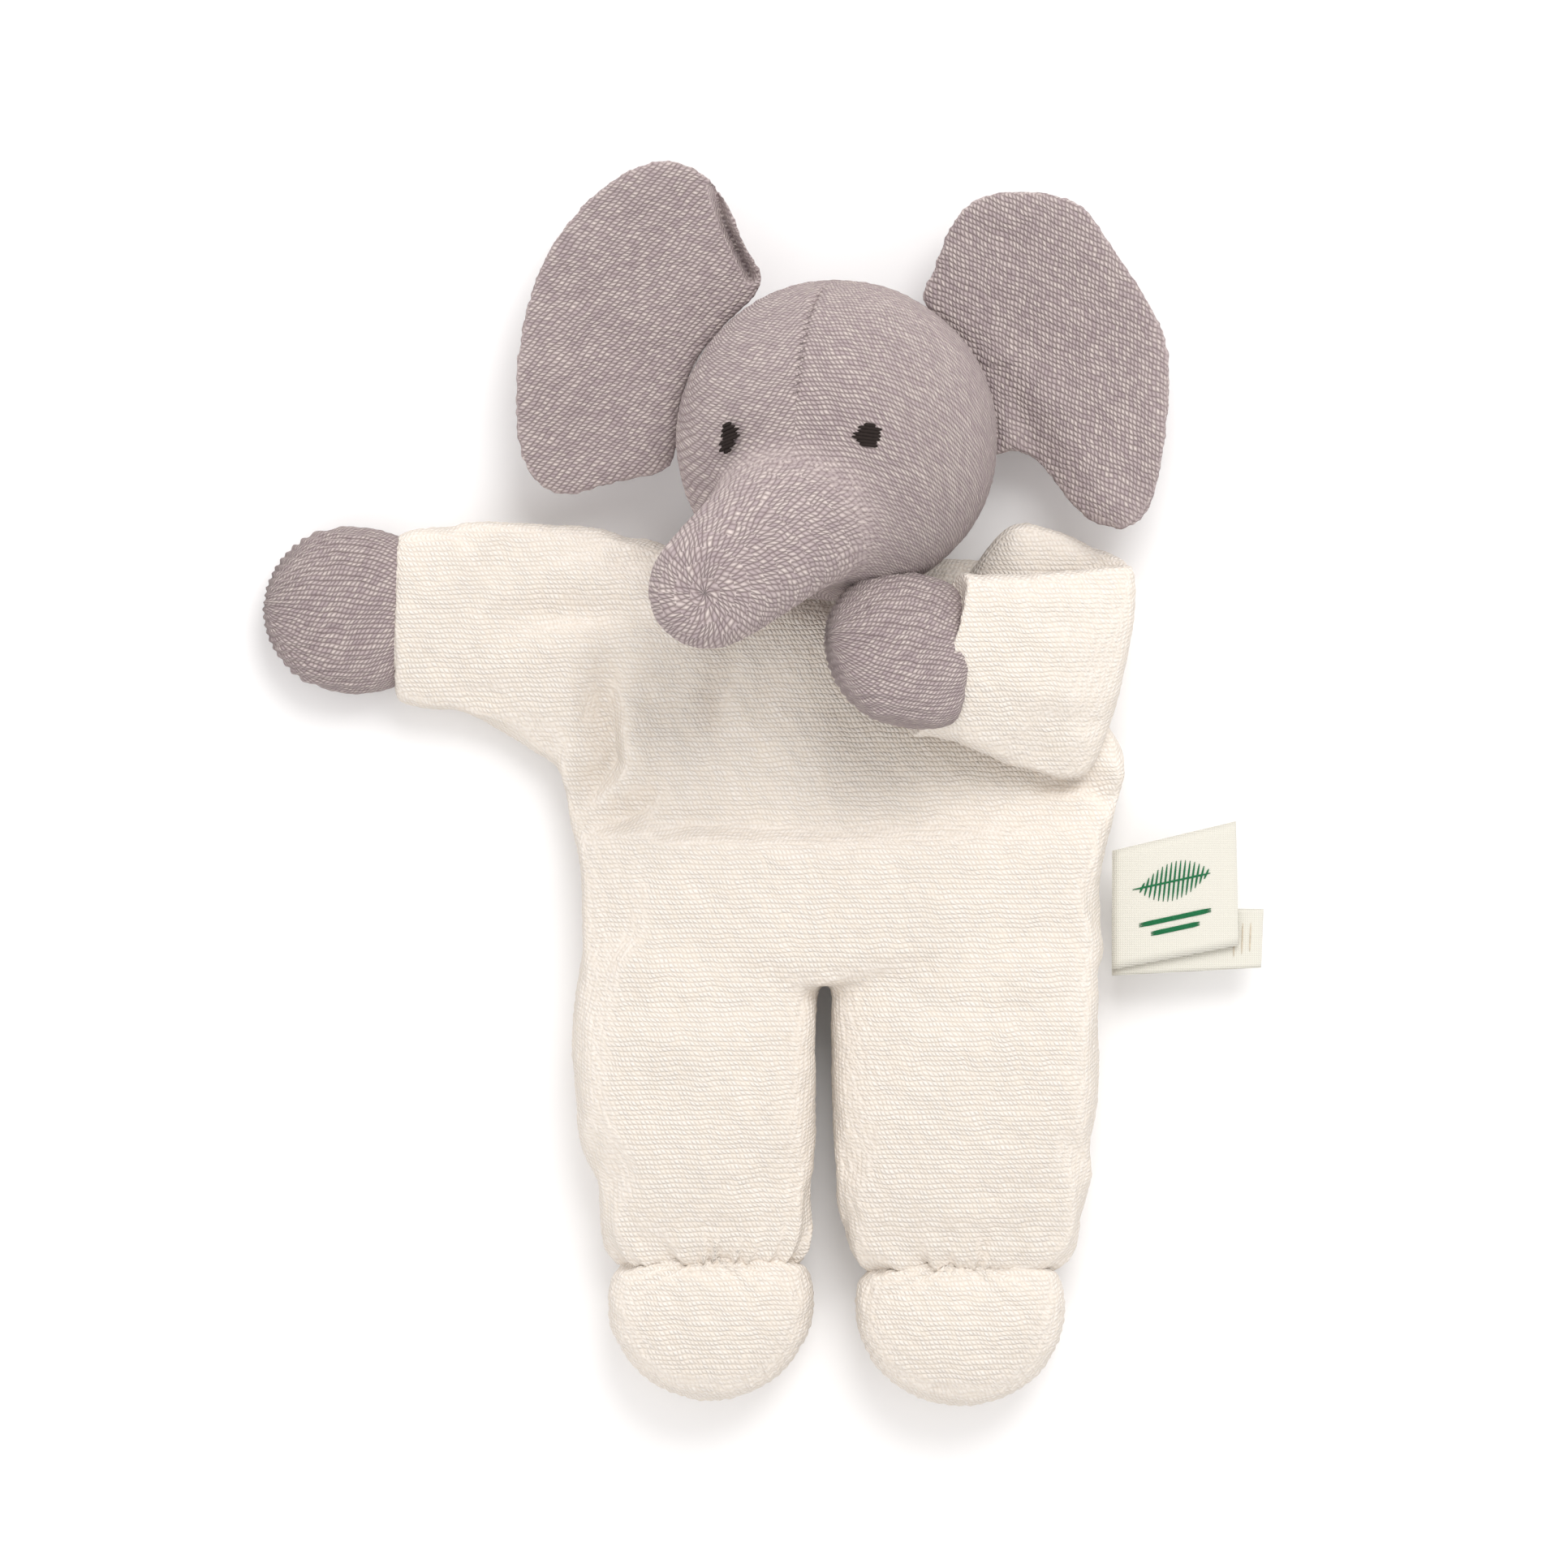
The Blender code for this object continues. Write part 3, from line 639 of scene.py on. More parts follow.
def crossed_patterns(nodes, links, group):
    """Height and fleck of the knit; where knit_mix is above 0, a second set of courses takes over."""
    outputs = []
    for place in ("knit_place", "knit_place_b"):
        loops = nodes.new("ShaderNodeGroup")
        loops.node_tree = group
        loops.inputs["Pitch"].default_value = fabric().pitch
        links.new(attribute_node(nodes, place), loops.inputs["Place"])
        if place == "knit_place":
            links.new(attribute_node(nodes, "knit_side"), loops.inputs["Side"])
        else:
            loops.inputs["Waviness"].default_value = TRUNK_WAVINESS
        outputs.append(loops.outputs)
    share = nodes.new("ShaderNodeAttribute")
    share.attribute_name = "knit_mix"
    mixed = []
    for name in ("Height", "Fleck"):
        mix = nodes.new("ShaderNodeMix")
        links.new(share.outputs["Fac"], mix.inputs["Factor"])
        links.new(outputs[0][name], mix.inputs["A"])
        links.new(outputs[1][name], mix.inputs["B"])
        mixed.append(mix.outputs["Result"])
    return mixed


# Soft patches of lighter and darker fabric
PATCH_SCALE = 60
PATCH_RANGE = (0.95, 1.04)


def terry_material(name, top, painted_shade, fleck_colours, group, relief, contrast, sheen):
    """Loops in rows: the fabric's own colour on top, painted shade between them, each one flecked a little
    differently.
    """
    material, nodes, links, shader = new_material(name, {
        "Roughness": 0.95, "Specular IOR Level": 0.15,
        "Sheen Weight": sheen, "Sheen Roughness": 0.55, "Sheen Tint": (*top, 1)})
    height, fleck = crossed_patterns(nodes, links, group)
    soft = nodes.new("ShaderNodeTexNoise")
    set_inputs(soft, {"Scale": PATCH_SCALE, "Detail": 2})
    links.new(attribute_node(nodes, "knit_place"), soft.inputs["Vector"])
    # Painted shade: the colour runs from the painted shade in the hollows to the fabric's own colour on the
    # loops' tops, following the loop height
    shade = calculator(nodes, links)("POWER", height, contrast, clamp=True)
    base = mix_colour(nodes, links, shade, (*painted_shade, 1), (*top, 1))
    ramp = nodes.new("ShaderNodeValToRGB")
    for element, colour in zip(ramp.color_ramp.elements, fleck_colours):
        element.color = (*colour, 1)
    links.new(fleck, ramp.inputs["Fac"])
    tinted = mix_colour(nodes, links, 1.0, base, ramp.outputs["Color"], "MULTIPLY")
    patchy = nodes.new("ShaderNodeMapRange")
    set_inputs(patchy, {"To Min": PATCH_RANGE[0], "To Max": PATCH_RANGE[1]})
    links.new(soft.outputs["Fac"], patchy.inputs["Value"])
    scale = vector_math(nodes, "SCALE")
    links.new(tinted, scale.inputs[0])
    links.new(patchy.outputs["Result"], scale.inputs["Scale"])
    links.new(scale.outputs[0], shader.inputs["Base Color"])
    add_relief(nodes, links, shader, height, relief)
    return material


def thread_material(name, colour, twist, sheen=0.2):
    """Plied thread: fine slanting strands along the piece."""
    material, nodes, links, shader = new_material(
        name, {"Roughness": 0.85, "Specular IOR Level": 0.2, "Sheen Weight": sheen})
    place = nodes.new("ShaderNodeTexCoord")
    strands = nodes.new("ShaderNodeTexNoise")
    set_inputs(strands, {"Scale": twist, "Detail": 3})
    links.new(place.outputs["Object"], strands.inputs["Vector"])
    # Painted shade: a darker copy of the thread's colour, painted where the strand relief is low, between the
    # strands
    dark = tuple(c * 0.55 for c in colour)
    links.new(mix_colour(nodes, links, strands.outputs["Fac"], (*dark, 1), (*colour, 1)),
              shader.inputs["Base Color"])
    add_relief(nodes, links, shader, strands.outputs["Fac"], 0.15 * MM)
    return material


def ribbon_material(name, colour):
    """Fine woven ribbon: crossed threads in relief."""
    material, nodes, links, shader = new_material(name, {"Roughness": 0.6, "Sheen Weight": 0.15})
    place = nodes.new("ShaderNodeTexCoord")
    waves = []
    for direction in ("X", "Y"):
        wave = nodes.new("ShaderNodeTexWave")
        wave.bands_direction = direction
        set_inputs(wave, {"Scale": 700, "Distortion": 0.6})
        links.new(place.outputs["Object"], wave.inputs["Vector"])
        waves.append(wave.outputs["Fac"])
    weave = calculator(nodes, links)("MULTIPLY", waves[0], waves[1])
    # Painted shade: a darker copy of the ribbon's colour, painted where the weave dips between crossing
    # threads
    painted_shade = tuple(c * 0.86 for c in colour)
    links.new(mix_colour(nodes, links, weave, (*painted_shade, 1), (*colour, 1)), shader.inputs["Base Color"])
    add_relief(nodes, links, shader, weave, 0.08 * MM)
    return material


def materials():
    """The doll's materials, made once."""
    if "Cream terry" in bpy.data.materials:
        return {k: bpy.data.materials[k] for k in
                ("Cream terry", "Grey terry", "Cream thread", "Dark thread", "Ribbon", "Green weave")}
    loops = make_loops_group()
    look = fabric()
    cream = tuple(look.cream)
    grey = tuple(look.grey)
    made = [
        terry_material("Cream terry", cream, tuple(look.cream_painted_shade),
                       ((0.96, 0.95, 0.93), (1.0, 1.0, 1.0)), loops, look.relief * 0.8, 0.35, 0.25),
        terry_material("Grey terry", grey, tuple(look.grey_painted_shade),
                       ((0.80, 0.77, 0.81), (1.0, 1.0, 0.98)), loops, look.relief, 0.85, 0.35),
        thread_material("Cream thread", (0.80, 0.70, 0.56), 1500),
        thread_material("Dark thread", (0.030, 0.021, 0.019), 1800, 0.0),
        ribbon_material("Ribbon", (0.80, 0.78, 0.70)),
        thread_material("Green weave", (0.012, 0.19, 0.07), 2200),
    ]
    return {m.name: m for m in made}


# ---- romper -------------------------------------------------------------------------


TORSO_ROWS = (
    # place up the body, middle across it, half width and thickness, in millimetres
    (-28.5, 0.2, 52.0, 24.5), (-24, 0.5, 53.4, 27.4), (-18, 0.6, 53.4, 28.2), (-8, 0.7, 53.6, 28.0),
    (0, 1.0, 54.8, 26.4), (6, 1.3, 56.0, 23.6), (12, 1.4, 57.0, 22.0), (20, 0.8, 56.6, 21.4),
    (28, 0, 52.0, 21.0), (38, 0, 42.0, 20.4), (46, 0, 37.0, 17.6), (52, 0, 35.0, 13.0),
    (57.5, 0, 32.0, 7.0),
)
# The body's underside is this far over the floor before it's stuffed
TORSO_LIFT = 0.3
RIGHT_SLEEVE_ROWS = (
    # middle of the sleeve, half width and half height, out from the body, in millimetres
    (-24, 36.0, 11.0, 20.0, 8.0), (-38, 36.4, 10.0, 25.6, 9.0), (-50, 38.0, 8.8, 26.0, 8.6),
    (-58, 40.4, 8.2, 24.2, 8.0), (-64, 42.6, 8.0, 22.3, 7.7), (-70, 44.6, 7.9, 20.9, 7.5),
    (-80, 45.4, 8.2, 18.9, 7.6), (-88.8, 45.6, 8.9, 17.2, 7.2),
)
LEFT_SHOULDER_ROWS = (
    # middle of the sleeve, half width and half height, from inside the body to the fold
    (21, 36, 9, 10, 4.2), (34, 40.0, 10.0, 23.0, 8.6), (43, 39.6, 8.8, 23.2, 7.4),
)
LEFT_FOLD_ROWS = (
    # degrees round the fold, half height, half width, place up the body, lean
    (-90, 6.4, 22.0, 37.6, 1.0), (-45, 4.9, 20.8, 36.6, 2.5), (0, 3.7, 20.4, 35.2, 4.2),
    (45, 4.9, 20.6, 34.6, 4.6), (90, 6.4, 20.8, 34.4, 4.8),
)
# Middle of the fold, across and up, and half the space between its two layers
FOLD_MIDDLE = (48.9, 14.8)
FOLD_GAP = 0.35
LEFT_CUFF_ROWS = (
    # middle of the sleeve, half width, half height, lean, over the chest; the last row turns the hem in
    (42, 34.9, 25.4, 19.8, 6.4, 4.8), (36, 36.0, 28.9, 18.4, 6.6, 4.6), (29, 37.2, 32.4, 16.9, 6.6, 4.4),
    (23.2, 37.6, 34.9, 16.0, 6.6, 4.6), (19.9, 37.7, 36.3, 15.9, 6.6, 4.8),
    (21.4, 37.7, 35.6, 11.0, 3.6, 3.4),
)
# Direction from the top side to the underside, across and up, where the sleeve slopes over the chest
CUFF_DOWN = (-0.40, -0.91)
# The left sleeve's mesh is cut in two where its fold begins, at this station
FOLD_STATION = len(LEFT_SHOULDER_ROWS)
# Rings to a station, and points on a ring: it isn't remeshed, because its two layers would grow together
SLEEVE_STEPS = 14
SLEEVE_SIDES = 216


def torso_stations():
    return scaled_stations([
        station((x, y, thickness / 2 + TORSO_LIFT), (half_width, 0, 0), (0, 0, thickness / 2), 0.82)
        for y, x, half_width, thickness in TORSO_ROWS])


def right_sleeve_stations():
    return scaled_stations([
        station((x, y, z), (0, -wide, 0), (0, 0, high)) for x, y, z, wide, high in RIGHT_SLEEVE_ROWS])


def left_sleeve_stations():
    """Out from the shoulder, round the fold and back over the chest."""
    rows = [station((x, y, z), (0, wide, 0), (0, 0, high)) for x, y, z, wide, high in LEFT_SHOULDER_ROWS]
    for degrees, high, wide, y, lean in LEFT_FOLD_ROWS:
        angle = math.radians(degrees)
        reach = high + FOLD_GAP
        out = (math.cos(angle), 0, math.sin(angle))
        centre = (FOLD_MIDDLE[0] + reach * out[0], y, FOLD_MIDDLE[1] + reach * out[2])
        rows.append(station(centre, (lean, wide, 0), [-high * c for c in out]))
    for x, y, z, wide, high, lean in LEFT_CUFF_ROWS:
        rows.append(station((x, y, z), (lean, wide, 0), (CUFF_DOWN[0] * high, 0, CUFF_DOWN[1] * high)))
    return scaled_stations(rows)


LEG_ROWS = {
    # place down the leg, middle across it and its height, half width and half height, in millimetres
    "right": (
        (-10, -27.0, 13.4, 20.0, 10.0), (-22, -28.0, 13.8, 24.6, 13.2), (-34, -28.4, 14.2, 24.6, 14.0),
        (-48, -28.4, 14.2, 24.3, 14.0), (-60, -28.0, 13.9, 23.6, 13.6), (-70, -26.8, 13.2, 21.6, 12.4),
        (-77, -26.0, 12.7, 20.8, 11.2), (-81, -25.7, 12.6, 19.8, 10.0), (-83.8, -25.4, 12.6, 17.4, 8.4),
    ),
    "left": (
        (-10, 26.6, 13.4, 20.0, 10.0), (-22, 26.4, 13.8, 26.0, 13.2), (-34, 26.2, 14.2, 26.9, 14.0),
        (-48, 26.2, 14.2, 27.0, 14.0), (-60, 26.0, 13.9, 26.4, 13.6), (-70, 25.6, 13.2, 25.4, 12.6),
        (-78, 25.4, 12.7, 23.2, 11.2), (-82, 25.2, 12.6, 21.6, 10.0), (-84.8, 24.9, 12.6, 18.6, 8.4),
    ),
}


def leg_stations(side):
    return scaled_stations([
        station((x, y, z), (wide, 0, 0), (0, 0, high), 0.84) for y, x, z, wide, high in LEG_ROWS[side]])


def romper_shell():
    """The romper before it is stuffed: body, right sleeve and legs grown together."""
    return even_mesh("romper_shell", merged(
        tube(torso_stations(), sides=96), tube(right_sleeve_stations()),
        tube(leg_stations("right"), sides=72), tube(leg_stations("left"), sides=72)), 10)


def left_sleeve_shell():
    """The left sleeve as one tube, from inside the shoulder round the fold to the cuff."""
    shell = new_object("sleeve_shell", *tube(left_sleeve_stations(), SLEEVE_STEPS, SLEEVE_SIDES))
    smooth_object(shell, 14)
    return shell


def hold_group(obj, held):
    """Vertex group of the cloth's fixed points; held is a share for each vertex."""
    group = obj.vertex_groups.new(name="held")
    for k in np.nonzero(held > 0.02)[0]:
        group.add([int(k)], float(held[k]), "REPLACE")
    return group.name


# Fabric blown up by its stuffing; a shrink below 0 lets it grow
CLOTH = {
    "quality": 4, "mass": 0.25, "shrink_min": -0.035,
    "tension_stiffness": 12, "compression_stiffness": 12, "bending_stiffness": 0.15,
    "use_pressure": True, "uniform_pressure_force": 4.0,
}
# Spacing of the simulated copy, the farthest it may push the fabric, and the share of that which is used
CLOTH_SPACING = 2.6 * MM
MOST_STUFFING = 2.0 * MM
STUFFING_SHARE = 0.9
# The fabric takes its move from this many points of the copy, the near ones most
CLOTH_NEIGHBOURS = 4
NEIGHBOUR_SOFTNESS = 0.2 * MM


def stuffed_moves(shell):
    """How far stuffing pushes the fabric: a coarse copy is blown up as cloth, held at its ends."""
    cloth = add_object("stuffing", shell.data.copy())
    remesh(cloth, CLOTH_SPACING)
    before = coordinates(cloth.data)
    modifier = cloth.modifiers.new("cloth", "CLOTH")
    settings = modifier.settings
    for name, value in CLOTH.items():
        setattr(settings, name, value)
    settings.vertex_group_mass = hold_group(cloth, romper_held(before))
    settings.effector_weights.gravity = 0
    modifier.collision_settings.use_collision = False
    modifier.collision_settings.use_self_collision = False
    modifier.point_cache.frame_end = shape().sim_frames
    scene = bpy.context.scene
    for moment in range(1, shape().sim_frames + 1):
        scene.frame_set(moment)
    graph = bpy.context.evaluated_depsgraph_get()
    after = coordinates(cloth.evaluated_get(graph).data)
    scene.frame_set(1)
    moves = after - before
    length = np.linalg.norm(moves, axis=1, keepdims=True)
    moves *= np.minimum(1, MOST_STUFFING / np.maximum(length, 1e-9))
    moves = relax(moves, edge_pairs(cloth.data), 1)
    tree = KDTree(len(before))
    for k, point in enumerate(before.tolist()):
        tree.insert(point, k)
    tree.balance()
    bpy.data.objects.remove(cloth)
    return tree, moves


def moved_by_cloth(co, tree, moves):
    out = np.empty_like(co)
    for k, point in enumerate(co.tolist()):
        total = 0.0
        move = np.zeros(3)
        for _, index, gap in tree.find_n(point, CLOTH_NEIGHBOURS):
            weight = 1.0 / (gap + NEIGHBOUR_SOFTNESS) ** 2
            total += weight
            move += moves[index] * weight
        out[k] = move / total
    return co + out * STUFFING_SHARE


def romper_held(co):
    """Share by which the fabric is fixed: at wrists, ankles and neck, and where it lies on the floor."""
    right_wrist = 1 - smoothstep(-86 * MM, -80 * MM, co[:, 0])
    on_chest = (co[:, 2] > 30 * MM) & (co[:, 1] > 18 * MM)
    left_wrist = on_chest * (1 - smoothstep(25 * MM, 31 * MM, co[:, 0]))
    ankle = 1 - smoothstep(-82 * MM, -76 * MM, co[:, 1])
    neck = smoothstep(50 * MM, 56 * MM, co[:, 1]) * (np.abs(co[:, 0]) < 30 * MM)
    floor = 1 - smoothstep(1 * MM, 4 * MM, co[:, 2])
    return np.clip(np.max([right_wrist, left_wrist, ankle, neck, floor * 0.9], axis=0), 0, 1)


# Middle of each ankle, end of the leg, and seed; the gathers' depth, number and reach up the leg
ANKLES = ((-25.2, -82.4, 21), (24.7, -83.4, 31))
ANKLE_LEVEL = 12.6 * MM
ANKLE_HALF = 27 * MM
PUCKER_DEPTH = 2.5 * MM
PUCKER_COUNT = 3.8
PUCKER_REACH = 11 * MM


def puckers(co, normals, centre_x, y_end, seed):
    """Irregular gathers round an ankle, strongest at the tie."""
    angle = np.arctan2(co[:, 2] - ANKLE_LEVEL, co[:, 0] - centre_x)
    spot = np.stack(
        [np.cos(angle) * PUCKER_COUNT, np.sin(angle) * PUCKER_COUNT, co[:, 1] / (26 * MM)], axis=1)
    waves = 0.55 - 1.7 * np.abs(noise_field(spot, 1.0, seed))
    fall = np.exp(-np.maximum(co[:, 1] - y_end, 0) / (PUCKER_REACH * 0.55))
    fall *= (co[:, 1] < y_end + 3 * PUCKER_REACH) & (np.abs(co[:, 0] - centre_x) < ANKLE_HALF)
    return co + normals * (waves * PUCKER_DEPTH * fall)[:, None]


ROMPER_CREASES = (
    # path across the top side in millimetres, depth, width
    (((-54.5, 5.5), (-50.5, 9.5), (-46, 17), (-47, 29), (-45, 40)), 3.2, 2.8),
    (((-68, 45), (-55, 47), (-46, 46.5), (-36, 47)), 2.8, 3.4),
    (((-51, 3), (-42, 7), (-33, 12)), 2.0, 2.3),
    (((-19, 39), (-24, 30), (-25, 22)), 1.8, 2.4),
    (((-50, 1.5), (-30, 4.5), (0, 3.0), (30, 4.0), (54, 1.5)), 1.2, 3.0),
    (((-2.5, -26), (-1.5, -14), (1.0, -6), (3, 0)), 0.45, 1.1),
    (((-50, -30), (-30, -33), (-10, -31)), 0.8, 3.4),
    (((12, -31), (32, -33), (52, -30)), 0.8, 3.4),
    (((-66, 28), (-72, 34), (-79, 37)), 0.6, 2.6),
    (((40, 12), (50, 13), (57, 8)), 2.3, 2.2),
)
SLEEVE_CREASES = (
    (((54, 24), (44, 25), (34, 27)), 0.6, 2.2),
    (((55, 47), (47, 44), (40, 45)), 0.5, 2.4),
)


def creased(co, normals, creases):
    """Creases pressed into the fabric that faces up."""
    flat = co * (1, 1, 0)
    top = smoothstep(8 * MM, 12 * MM, co[:, 2]) * smoothstep(0.1, 0.5, normals[:, 2])
    for path, depth, width in creases:
        line = np.array([(*spot, 0) for spot in path]) * MM
        pressed = crease(flat, normals, line, depth * MM, width * MM)
        co = co + (pressed - flat) * top[:, None]
    return co


# How much flatter the chest is than the belly
CHEST_DROP = 3.0 * MM


def belly(co):
    """The wool sits low: the belly stands out and the chest above it lies flatter."""
    x, y, z = co[:, 0] / MM, co[:, 1] / MM, co[:, 2] / MM
    edge = 3.0 + 1.2 * np.sin(x / 17.0)
    chest = smoothstep(edge - 2.5, edge + 5.0, y) * (1 - smoothstep(26, 46, y))
    chest *= (1 - smoothstep(44, 58, np.abs(x))) * smoothstep(12, 20, z)
    co[:, 2] -= CHEST_DROP * chest
    return co


def stuffed(shell):
    """Blows the fabric up with its stuffing."""
    tree, moves = stuffed_moves(shell)
    set_coordinates(shell.data, moved_by_cloth(coordinates(shell.data), tree, moves))
    smooth_object(shell, 3)


def shaped_romper():
    """Stuffed, creased and napped fabric of the romper without its left sleeve, still in one piece."""
    shell = romper_shell()
    stuffed(shell)
    subdivide(shell)
    mesh, co, normals = surface(shell)
    co = belly(lumpy(co, normals, 11))
    co = creased(co, normals, ROMPER_CREASES)
    for centre_x, y_end, seed in ANKLES:
        co = puckers(co, normals, centre_x * MM, y_end * MM, seed)
    napped(mesh, co, 3, 0.8)
    return shell


def shaped_sleeve():
    """Stuffed, creased and napped fabric of the left sleeve."""
    shell = left_sleeve_shell()
    stuffed(shell)
    mesh, co, normals = surface(shell)
    co = creased(lumpy(co, normals, 15), normals, SLEEVE_CREASES)
    napped(mesh, co, 4, 0.8)
    return shell


# The right arm bends in bands that slant like the armpit: where it leaves the body, where it is all
# upper arm, and where it is all lower arm, in millimetres along this direction
RIGHT_ARM_WAY = (-0.94, 0.341)
RIGHT_ARM_REACH = (50.0, 61.0, 76.0)
# The legs leave the body here, and follow the hips fully from the second place down, in millimetres
LEG_TOP = -30
LEG_FREE = -52
# Between the legs the cut follows the gap, which is a little to the right of the middle
LEG_GAP = -2.6


def romper_regions(mesh):
    """Name of each piece of the romper, with a flag for each face."""
    c = face_centres(mesh)
    x, y = c[:, 0] / MM, c[:, 1] / MM
    legs = y < LEG_TOP
    reach = x * RIGHT_ARM_WAY[0] + y * RIGHT_ARM_WAY[1]
    right_arm = (reach > RIGHT_ARM_REACH[0]) & (x < 0) & ~legs
    return {
        "romper_leg_right": legs & (x < LEG_GAP),
        "romper_leg_left": legs & (x >= LEG_GAP),
        "romper_sleeve_right": right_arm & (reach > RIGHT_ARM_REACH[1]),
        "romper_shoulder_right": right_arm & (reach <= RIGHT_ARM_REACH[1]),
        "romper_body": ~(legs | right_arm),
    }


def sleeve_regions(mesh):
    """The left sleeve's two pieces, which meet where the fold begins."""
    rings = np.array([min(face.vertices) for face in mesh.polygons]) // SLEEVE_SIDES
    upper = rings < FOLD_STATION * SLEEVE_STEPS
    return {"romper_shoulder_left": upper, "romper_sleeve_left": ~upper}


def build_romper():
    cream = materials()["Cream terry"]
    pieces = {}
    for whole, regions in ((shaped_romper(), romper_regions), (shaped_sleeve(), sleeve_regions)):
        for name, keep in regions(whole.data).items():
            piece = split_off(whole, name, keep)
            piece.data.materials.append(cream)
            pieces[name] = piece
        bpy.data.objects.remove(whole)
    attach_romper(pieces)


def attach_romper(pieces):
    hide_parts("romper_front", "romper_back", "torso_filling")
    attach(pieces["romper_body"], "torso")
    for side, x in (("right", -28), ("left", 28)):
        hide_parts("upper_sleeve_" + side, "upper_filling_" + side)
        leg = pieces["romper_leg_" + side]
        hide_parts("leg_cover_" + side, "leg_filling_" + side)
        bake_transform(leg, "torso", "leg_" + side,
                 (x * MM, LEG_TOP * MM, 14 * MM), (x * MM, LEG_FREE * MM, 14 * MM))
        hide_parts("lower_sleeve_" + side, "lower_filling_" + side)
    bands = [(RIGHT_ARM_WAY[0] * reach * MM, RIGHT_ARM_WAY[1] * reach * MM, 8 * MM)
             for reach in RIGHT_ARM_REACH]
    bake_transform(pieces["romper_shoulder_right"], "torso", "upper_arm_right", bands[0], bands[1])
    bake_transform(pieces["romper_sleeve_right"], "upper_arm_right", "lower_arm_right", bands[1], bands[2])
    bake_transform(pieces["romper_shoulder_left"], "torso", "upper_arm_left",
             (34 * MM, 38 * MM, 7 * MM), (48 * MM, 38 * MM, 7 * MM))
    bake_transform(pieces["romper_sleeve_left"], "upper_arm_left", "lower_arm_left",
             (56 * MM, 36 * MM, 13.5 * MM), (56 * MM, 36 * MM, 18 * MM))


# ---- head and trunk -------------------------------------------------------------------

HEAD_MIDDLE = Vector((0, 80.6, 28.6)) * MM
HEAD_HALF = (32.4 * MM, 32.0 * MM, 28.0 * MM)
FACE_TURN = Matrix.Rotation(math.radians(-15), 3, "Y")
# Direction in which the trunk leaves the face, and how far past its joint its own piece begins
TRUNK_LINE = Vector((-0.22, -0.54, 0.81)).normalized()
TRUNK_SPLIT = 5.0 * MM
TRUNK_ROWS = (
    # middle, direction, radius, in millimetres
    ((-1.0, 71.0, 38.0), (-0.55, -0.50, 0.66), 15.8),
    ((-8.6, 64.6, 47.0), (-0.58, -0.50, 0.64), 15.4),
    ((-15.6, 58.4, 54.0), (-0.62, -0.52, 0.58), 14.2),
    ((-22.0, 53.0, 59.6), (-0.45, -0.42, 0.79), 12.8),
    ((-25.2, 50.2, 64.6), (-0.20, -0.20, 0.96), 11.9),
    ((-25.9, 49.5, 68.6), (-0.05, -0.05, 1.00), 10.6),
    ((-26.0, 49.4, 70.8), (0.0, 0.0, 1.0), 8.0),
)
TRUNK_END = Vector((-26.0, 49.4, 71.2)) * MM
# What is farther than this from the trunk's middle line belongs to the face
TRUNK_HALF = 22 * MM
# Width of one course of loops round the trunk's end
TRUNK_RING = 3.0 * MM
# Where the trunk grows out of the face
TRUNK_ROOT = Vector((-8.0, 63.0, 49.0)) * MM
TRUNK_ROOT_REACH = 19 * MM


def trunk_stations():
    """From inside the face round to the flat end, which faces up."""
    rows = []
    for middle, direction, radius in TRUNK_ROWS:
        axis = Vector(direction).normalized()
        across = Vector((0.7, -0.7, 0.1)).cross(axis).normalized()
        up = across.cross(axis)
        rows.append([*(Vector(middle) * MM), *(across * radius * MM), *(up * radius * MM), 1.0])
    return np.array(rows)


def head_shell():
    return even_mesh("head_shell", merged(
        ball(HEAD_MIDDLE, HEAD_HALF, FACE_TURN), tube(trunk_stations(), steps=5, sides=48)), 10)


def soften_join(shell):
    """Rounds the hollow where the trunk grows out of the face."""
    co = coordinates(shell.data)
    near = np.exp(-(np.linalg.norm(co - np.array(TRUNK_ROOT), axis=1) / TRUNK_ROOT_REACH) ** 4)
    smooth = relax(co, edge_pairs(shell.data), 190)
    set_coordinates(shell.data, co + (smooth - co) * near[:, None])


def face_direction(co):
    """Directions from the head's middle, in the face's own frame."""
    out = (co - np.array(HEAD_MIDDLE)) / np.array(HEAD_HALF)
    out = out @ np.array(FACE_TURN)
    return out / np.linalg.norm(out, axis=1, keepdims=True)


# These turn angles round the head into lengths on it; the bow bends the courses down on the left of the
# face and up on its right
FACE_RISE, FACE_TURNING, FACE_NARROWING = 32 * MM, 31 * MM, 34 * MM
FACE_BOW = 0.012


def face_courses(co, slope):
    """Courses over one half of the face, at an angle to the level."""
    d = face_direction(co)
    rise = np.arcsin(np.clip(d[:, 1], -1, 1)) * FACE_RISE
    turn = np.arctan2(d[:, 0], d[:, 2]) * FACE_TURNING * np.cos(rise / FACE_NARROWING)
    bow = FACE_BOW * turn * np.abs(turn) / MM
    along = turn * math.cos(slope) + rise * math.sin(slope)
    up = rise * math.cos(slope) - turn * math.sin(slope) + bow
    return np.stack([along, up, np.zeros(len(co))], axis=1)


